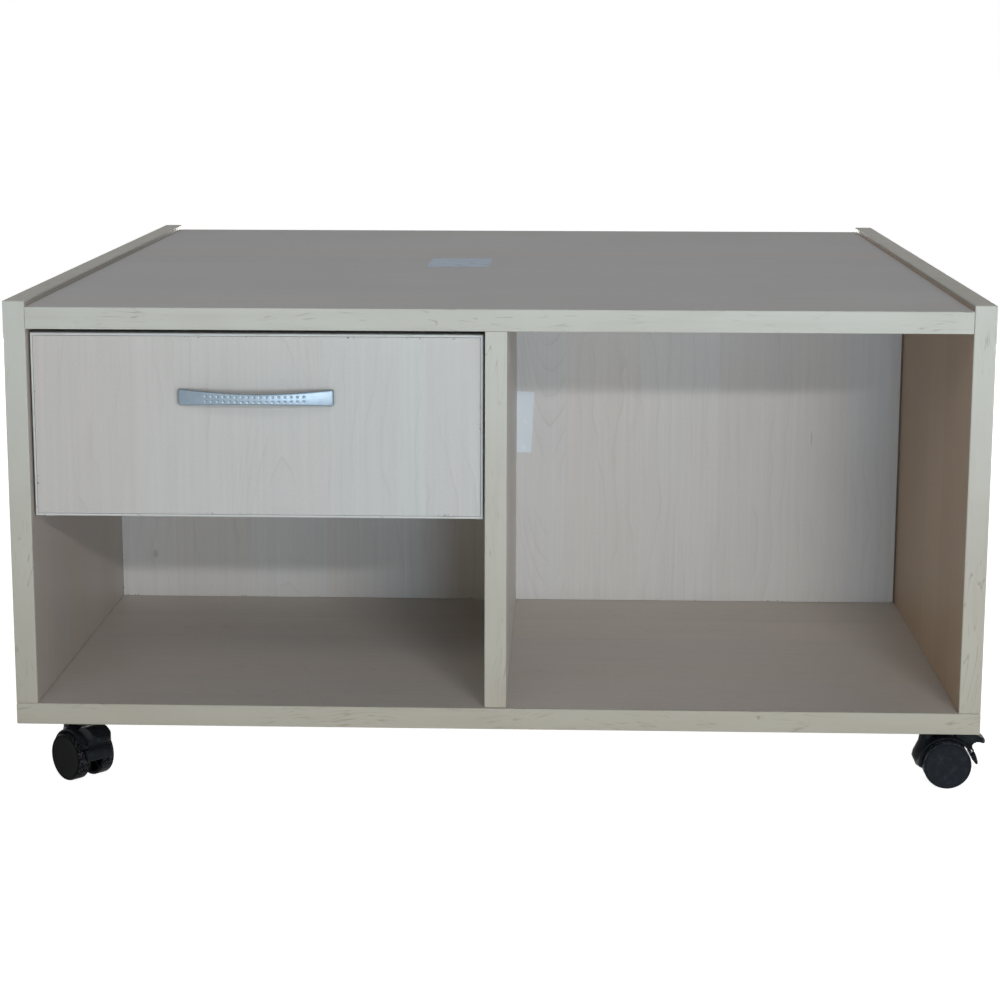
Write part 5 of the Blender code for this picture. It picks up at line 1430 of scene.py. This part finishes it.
@dataclass
class Castor:
    """One castor: a wheel on each side of a moulded hood, a black plate and, in front, a brake lever.

    A wheel's profile is in parts, which are (outward, sideways) steps in millimetres from a corner each.
    """

    name: str
    braked: bool
    fx: Effects
    trees: Repeats
    nylon: Material
    tyre: Moulded
    plate: Material
    zinc: Material
    pin: Material
    joints: dict[str, dict]
    wheel_radius: float = 20 * MM
    wheel_width: float = 12 * MM
    wheel_spacing: float = 24.6 * MM
    wheel_steps: int = 72
    dish: tuple[Pair, ...] = ((0, -0.35), (9.0, -0.4), (14.0, -0.35))
    face_radius: float = 18.2 * MM
    groove: tuple[Pair, ...] = ((-0.7, -0.1), (-0.2, -0.1), (0, -0.8), (0.35, -0.8), (0.55, -0.25))
    outer_tread: tuple[Pair, ...] = ((-0.9, -0.15), (-0.3, -0.5), (0, -1.2))
    inner_tread: tuple[Pair, ...] = ((0, 0.8), (-0.8, 0), (-2.6, 0))
    tread_thickness: float = 2.9 * MM
    face_thickness: float = 3.0 * MM
    hub_radius: float = 5 * MM
    bore_radius: float = 2.8 * MM
    bore_end: float = 1 * MM
    rib_count: int = 8
    rib_overlap: float = 0.3 * MM
    rib_thickness: float = 1.1 * MM
    rib_outer_gap: float = 2.6 * MM
    rib_height_less: float = 4.4 * MM
    rib_drop: float = 1.2 * MM
    hood_radius: float = 23.2 * MM
    hood_width: float = 26.6 * MM
    bead_radius: float = 0.75 * MM
    bead_inset: float = 0.5 * MM
    bead_sink: float = 0.2 * MM
    bead_start: float = -3.0
    braked_bead_start: float = 30.0
    bead_end: float = 183.0
    pin_radius: float = 1.15 * MM
    pin_top_share: float = 0.75
    pin_crown: float = 0.25 * MM
    pin_shoulder: float = 0.2 * MM
    pin_depth: float = 0.5 * MM
    pin_steps: int = 20
    hole_spacing: float = 28 * MM
    plate_thickness: float = 1.8 * MM
    screw_size: Pair = (3.6 * MM, 1.7 * MM)
    sharp: float = 40.0

    def frame(self) -> Matrix:
        """The axle's frame: X trails away from the swivel, Y runs along the axle."""
        joint = self.joints[f"{self.name}_wheel_left_spin"]
        along = Vector(joint["axis"]).normalized()
        up = Vector((0, 0, 1))
        turn = Matrix((along.cross(up), along, up)).transposed().to_4x4()
        return Matrix.Translation(Vector(joint["pos_m"])) @ turn

    def build(self) -> None:
        """Makes the castor's pieces."""
        frame = self.frame()
        axle = (frame.translation.copy(), frame.to_3x3() @ Vector((0, 1, 0)))
        skin = replace(self.tyre, name=f"{self.name}_{self.tyre.name}").make(self.fx, axle)
        merged_copy(f"{self.name}_housing", self.name, self.nylon, self.sharp)
        merged_copy(f"{self.name}_axle", self.name, self.zinc)
        merged_copy(f"{self.name}_plate", "carcass", self.plate)
        if self.braked:
            merged_copy(f"{self.name}_brake_lever", f"{self.name}_brake", self.nylon, self.sharp)
            self.pin_heads(frame)
        for side, sign in (("left", 1), ("right", -1)):
            self.wheel(side, sign, frame, skin)
            self.bead(side, sign, frame)
        self.plate_screws()
        LOG.info("%s dressed", self.name)

    def outward(self, sign: int, offset: float) -> Matrix:
        """A place on one side of the castor, with its Z away from the middle."""
        return Matrix.Translation((0, sign * offset, 0)) @ Matrix.Rotation(-sign * QUARTER_TURN, 4, "X")

    def wheel(self, side: str, sign: int, frame: Matrix, skin: Material) -> None:
        """One wheel: a dished face with a groove round it, a rounded tread, and ribs in the hollow behind.

        Args:
            side: left or right.
            sign: the side's direction along the axle.
            frame: the axle's frame.
            skin: its finish.
        """
        half, radius = self.wheel_width / 2, self.wheel_radius
        corners = (
            (0, half, self.dish), (self.face_radius, half, self.groove),
            (radius, half, self.outer_tread), (radius, -half, self.inner_tread),
        )
        profile = [(out + r * MM, face + h * MM) for out, face, steps in corners for r, h in steps]
        floor = half - self.face_thickness
        profile += [(radius - self.tread_thickness, floor), (self.hub_radius, floor)]
        profile += [(self.hub_radius, -half), (self.bore_radius, -half)]
        profile += [(self.bore_radius, self.bore_end), (0, self.bore_end)]
        place = frame @ self.outward(sign, self.wheel_spacing / 2)
        bm = bmesh.new()
        lathe(bm, profile, self.wheel_steps, place)
        values = {
            "Count": self.rib_count, "Inner radius": self.hub_radius - self.rib_overlap,
            "Outer radius": radius - self.rib_outer_gap, "Thickness": self.rib_thickness,
            "Height": self.wheel_width - self.rib_height_less, "Material": skin,
        }
        ribs = run_tree("wheel_ribs", bpy.data.meshes.new("ribs_start"), self.trees.ribs, values)
        ribs.transform(place @ Matrix.Translation((0, 0, -self.rib_drop)))
        bm.from_mesh(ribs)
        name = f"{self.name}_wheel_{side}"
        piece = new_piece(f"{name}_turned", to_mesh(bm, f"{name}_turned"), skin)
        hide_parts(name)
        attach(piece, name)

    def bead(self, side: str, sign: int, frame: Matrix) -> None:
        """The raised bead along one edge of the hood."""
        start = math.radians(self.braked_bead_start if self.braked else self.bead_start)
        values = {
            "Arc radius": self.hood_radius - self.bead_inset, "Start": start,
            "Sweep": math.radians(self.bead_end) - start, "Bead radius": self.bead_radius,
            "Material": self.nylon,
        }
        start_mesh = bpy.data.meshes.new("bead_start")
        mesh = run_tree(f"{self.name}_bead_{side}", start_mesh, self.trees.bead, values)
        edge = Matrix.Translation((0, sign * (self.hood_width / 2 - self.bead_sink), 0))
        mesh.transform(frame @ edge @ Matrix.Rotation(QUARTER_TURN, 4, "X"))
        piece = new_piece(f"{self.name}_hood_bead_{side}", mesh)
        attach(piece, self.name)

    def pin_heads(self, frame: Matrix) -> None:
        """The steel ends of the lever's pin, flush in its two lugs."""
        joint = self.joints[f"{self.name}_brake_press"]
        place = Matrix.Translation(Vector(joint["pos_m"])) @ frame.to_3x3().to_4x4()
        radius = self.pin_radius
        profile = [(0, self.pin_crown), (radius * self.pin_top_share, self.pin_shoulder), (radius, 0)]
        profile += [(radius, -self.pin_depth), (0, -self.pin_depth)]
        bm = bmesh.new()
        for sign in (-1, 1):
            lathe(bm, profile, self.pin_steps, place @ self.outward(sign, self.hood_width / 2))
        piece = new_piece(f"{self.name}_lever_pin", to_mesh(bm, f"{self.name}_lever_pin"), self.pin)
        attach(piece, self.name)

    def plate_screws(self) -> None:
        """The four screws that hold the plate."""
        low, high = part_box(f"{self.name}_plate")
        middle = (low + high) / 2
        offset, under = self.hole_spacing / 2, high.z - self.plate_thickness
        places = [(middle.x + x * offset, middle.y + y * offset, under) for x in (-1, 1) for y in (-1, 1)]
        screw_heads(f"{self.name}_plate_screws", self.trees, self.zinc, places, Facing.DOWN, self.screw_size)


# The studio


@dataclass(frozen=True)
class AreaLamp:
    """One soft lamp."""

    name: str
    place: Point
    target: Point
    width: float
    height: float
    watts: float
    colour: Colour = (1.0, 1.0, 1.0)

    def hang(self) -> None:
        """Adds the lamp to the scene."""
        data = bpy.data.lights.new(self.name, "AREA")
        data.shape = "RECTANGLE"
        data.size, data.size_y = self.width, self.height
        data.energy = self.watts
        data.color = self.colour
        made = bpy.data.objects.new(self.name, data)
        bpy.context.scene.collection.objects.link(made)
        made.location = self.place
        aim = Vector(self.target) - Vector(self.place)
        made.rotation_euler = aim.to_track_quat("-Z", "Y").to_euler()


@dataclass
class Studio:
    """A pale floor, soft lamps and the camera at the photograph's place."""

    lamps: tuple[AreaLamp, ...] = (
        AreaLamp("window_left", (0.34, -2.52, 0.22), (0.1, -0.2, 0.2), 0.28, 0.44, 8.9, (0.80, 1.0, 1.27)),
        AreaLamp("window_middle", (0.75, -2.52, 0.22), (0.1, -0.2, 0.2), 0.54, 0.44, 3.4, (1.02, 1.0, 0.94)),
        AreaLamp("window_right", (1.48, -2.52, 0.22), (0.1, -0.2, 0.2), 0.90, 0.44, 11.0, (1.0, 1.0, 0.98)),
        AreaLamp("window_head", (0.75, -2.52, 0.96), (0.1, -0.2, 0.2), 0.54, 0.05, 15.6, (1.0, 0.99, 1.01)),
        AreaLamp("window_far_left", (-0.7, -2.5, 0.22), (0.0, -0.2, 0.2), 1.2, 0.44, 3.5, (1.04, 1.0, 0.90)),
        AreaLamp("front_crown", (-0.6, -1.3, 1.0), (-0.3, -0.4, 0.36), 0.8, 0.3, 1.9),
        AreaLamp("overhead", (0.0, 0.3, 2.2), (0.0, 0.3, 0.0), 1.6, 1.2, 10.0, (0.98, 1.0, 1.03)),
        AreaLamp("rear", (0.0, 2.6, 0.2), (0.0, 0.4, 0.2), 2.4, 0.4, 34.0),
        AreaLamp("left_side", (-2.7, 0.3, 0.2), (-0.4, 0.1, 0.2), 1.6, 0.4, 34.0),
        AreaLamp("right_side", (2.7, 0.3, 0.2), (0.4, 0.1, 0.2), 1.6, 0.4, 34.0),
    )
    world_level: float = 0.03
    floor_radius: float = 40.0
    floor_steps: int = 96
    floor_tones: tuple[Colour, Colour] = ((0.74, 0.74, 0.74), (0.78, 0.78, 0.78))
    floor_roughness: float = 0.9
    floor_shine: float = 0.1
    glow_distances: Pair = (0.6, 2.2)
    glow_levels: Pair = (0.86, 0.96)
    camera_place: Point = (0.05465, -2.2924, 0.61507)
    camera_yaw: float = -0.0373
    camera_pitch: float = 0.191
    camera_roll: float = 0.0011
    focal_pixels: float = 2365.84
    image_pixels: float = 1000.0
    centre_pixels: Pair = (475.98, 497.70)
    sensor: float = 36.0
    farthest: float = 60.0

    def build(self) -> None:
        """Sets up the whole studio."""
        self.floor()
        self.world()
        for lamp in self.lamps:
            lamp.hang()
        self.camera()
        bpy.context.scene.view_settings.view_transform = "Standard"
        LOG.info("studio ready")

    def seen_rays(self, w: Wiring) -> Socket:
        """One for the rays that see the background, directly or in a shiny or clear surface."""
        path = w.add("ShaderNodeLightPath").outputs
        seen = w.calc("MAXIMUM", path["Is Camera Ray"], path["Is Glossy Ray"])
        return w.calc("MAXIMUM", seen, path["Is Transmission Ray"])

    def floor(self) -> None:
        """A wide pale disc that keeps the table's shadow and looks white."""
        bm = bmesh.new()
        bmesh.ops.create_circle(bm, cap_ends=True, segments=self.floor_steps, radius=self.floor_radius)
        w, shader, place, made = start_material("studio_floor")
        distance = w.vector("LENGTH", place, result="Value")
        glow = w.span(distance, *self.glow_distances, *self.glow_levels)
        w.feed_all(shader, {
            "Base Color": w.mix(w.noise(place, 3.0), *self.floor_tones), "Roughness": self.floor_roughness,
            "Specular IOR Level": self.floor_shine, "Emission Color": (1, 1, 1),
            "Emission Strength": w.times(self.seen_rays(w), glow),
        })
        made.cycles.emission_sampling = "NONE"
        disc = new_piece("studio_floor", to_mesh(bm, "studio_floor"), made)

    def world(self) -> None:
        """A dim even light that looks white where it is seen."""
        world = bpy.data.worlds.new("studio_world")
        bpy.context.scene.world = world
        world.use_nodes = True
        world.node_tree.nodes.clear()
        w = Wiring(world.node_tree)
        level = w.calc("MAXIMUM", self.seen_rays(w), self.world_level)
        sky = w.add("ShaderNodeBackground", {"Color": (1, 1, 1), "Strength": level})
        w.add("ShaderNodeOutputWorld", {"Surface": sky.outputs[0]})

    def camera(self) -> None:
        """The camera that was fitted to the photograph's corners."""
        data = bpy.data.cameras.new("photo_camera")
        data.sensor_width = self.sensor
        data.lens = self.sensor * self.focal_pixels / self.image_pixels
        data.shift_x = 0.5 - self.centre_pixels[0] / self.image_pixels
        data.shift_y = self.centre_pixels[1] / self.image_pixels - 0.5
        data.clip_end = self.farthest
        made = bpy.data.objects.new("photo_camera", data)
        bpy.context.scene.collection.objects.link(made)
        yaw, pitch, roll = self.camera_yaw, self.camera_pitch, self.camera_roll
        forward = Vector((math.sin(yaw) * math.cos(pitch), math.cos(yaw) * math.cos(pitch), -math.sin(pitch)))
        right = Vector((math.cos(yaw), -math.sin(yaw), 0))
        up = right.cross(forward)
        tilted_right = math.cos(roll) * right + math.sin(roll) * up
        tilted_up = -math.sin(roll) * right + math.cos(roll) * up
        turn = Matrix((tilted_right, tilted_up, -forward)).transposed().to_4x4()
        made.matrix_world = Matrix.Translation(self.camera_place) @ turn
        bpy.context.scene.camera = made


def main() -> None:
    """Builds the whole scene."""
    logging.basicConfig(level=logging.INFO, format="%(name)s: %(message)s")
    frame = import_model()
    nodes = frame["nodes"]
    joints = {joint["name"]: joint for joint in frame["joints"]}
    fx, trees = Effects(), Repeats()
    zinc = Plated("zinc_plate", (0.56, 0.56, 0.54), (0.42, 0.42, 0.41)).make(fx)
    nylon = Moulded("castor_nylon_skin", (0.006, 0.0075, 0.009), (0.03, 0.036, 0.042), 0.2).make(fx)
    tyre = Moulded("wheel_nylon_skin", (0.009, 0.0115, 0.015), (0.034, 0.042, 0.052), 0.3, 1900.0)
    # Painted shade: the front left castor's wheels take a darker copy of the tyre skin, with its dust and
    # tread dust darker too.
    shaded_tyre = replace(
        tyre, base=(0.0014, 0.0015, 0.0017), dust=(0.006, 0.0065, 0.0075), shine=0.02,
        tread_dust=(0.075, 0.075, 0.082),
    )
    plate = Moulded(
        "plate_enamel", (0.012, 0.013, 0.014), (0.05, 0.05, 0.05), 0.2, 1500.0, metal=0.2
    ).make(fx)
    bright_pin = Plated("pin_steel", (0.34, 0.37, 0.40), (0.25, 0.27, 0.29)).make(fx)
    Carcass(nodes, fx, zinc).build()
    Drawer(nodes, fx, trees, zinc).build()
    castors = {
        "front_left": (True, shaded_tyre, plate),
        "front_right": (True, tyre, bright_pin),
        "rear_left": (False, tyre, plate),
        "rear_right": (False, tyre, plate),
    }
    for corner, (braked, skin, pin) in castors.items():
        Castor(f"{corner}_castor", braked, fx, trees, nylon, skin, plate, zinc, pin, joints).build()
    Studio().build()


if __name__ == "__main__":
    main()
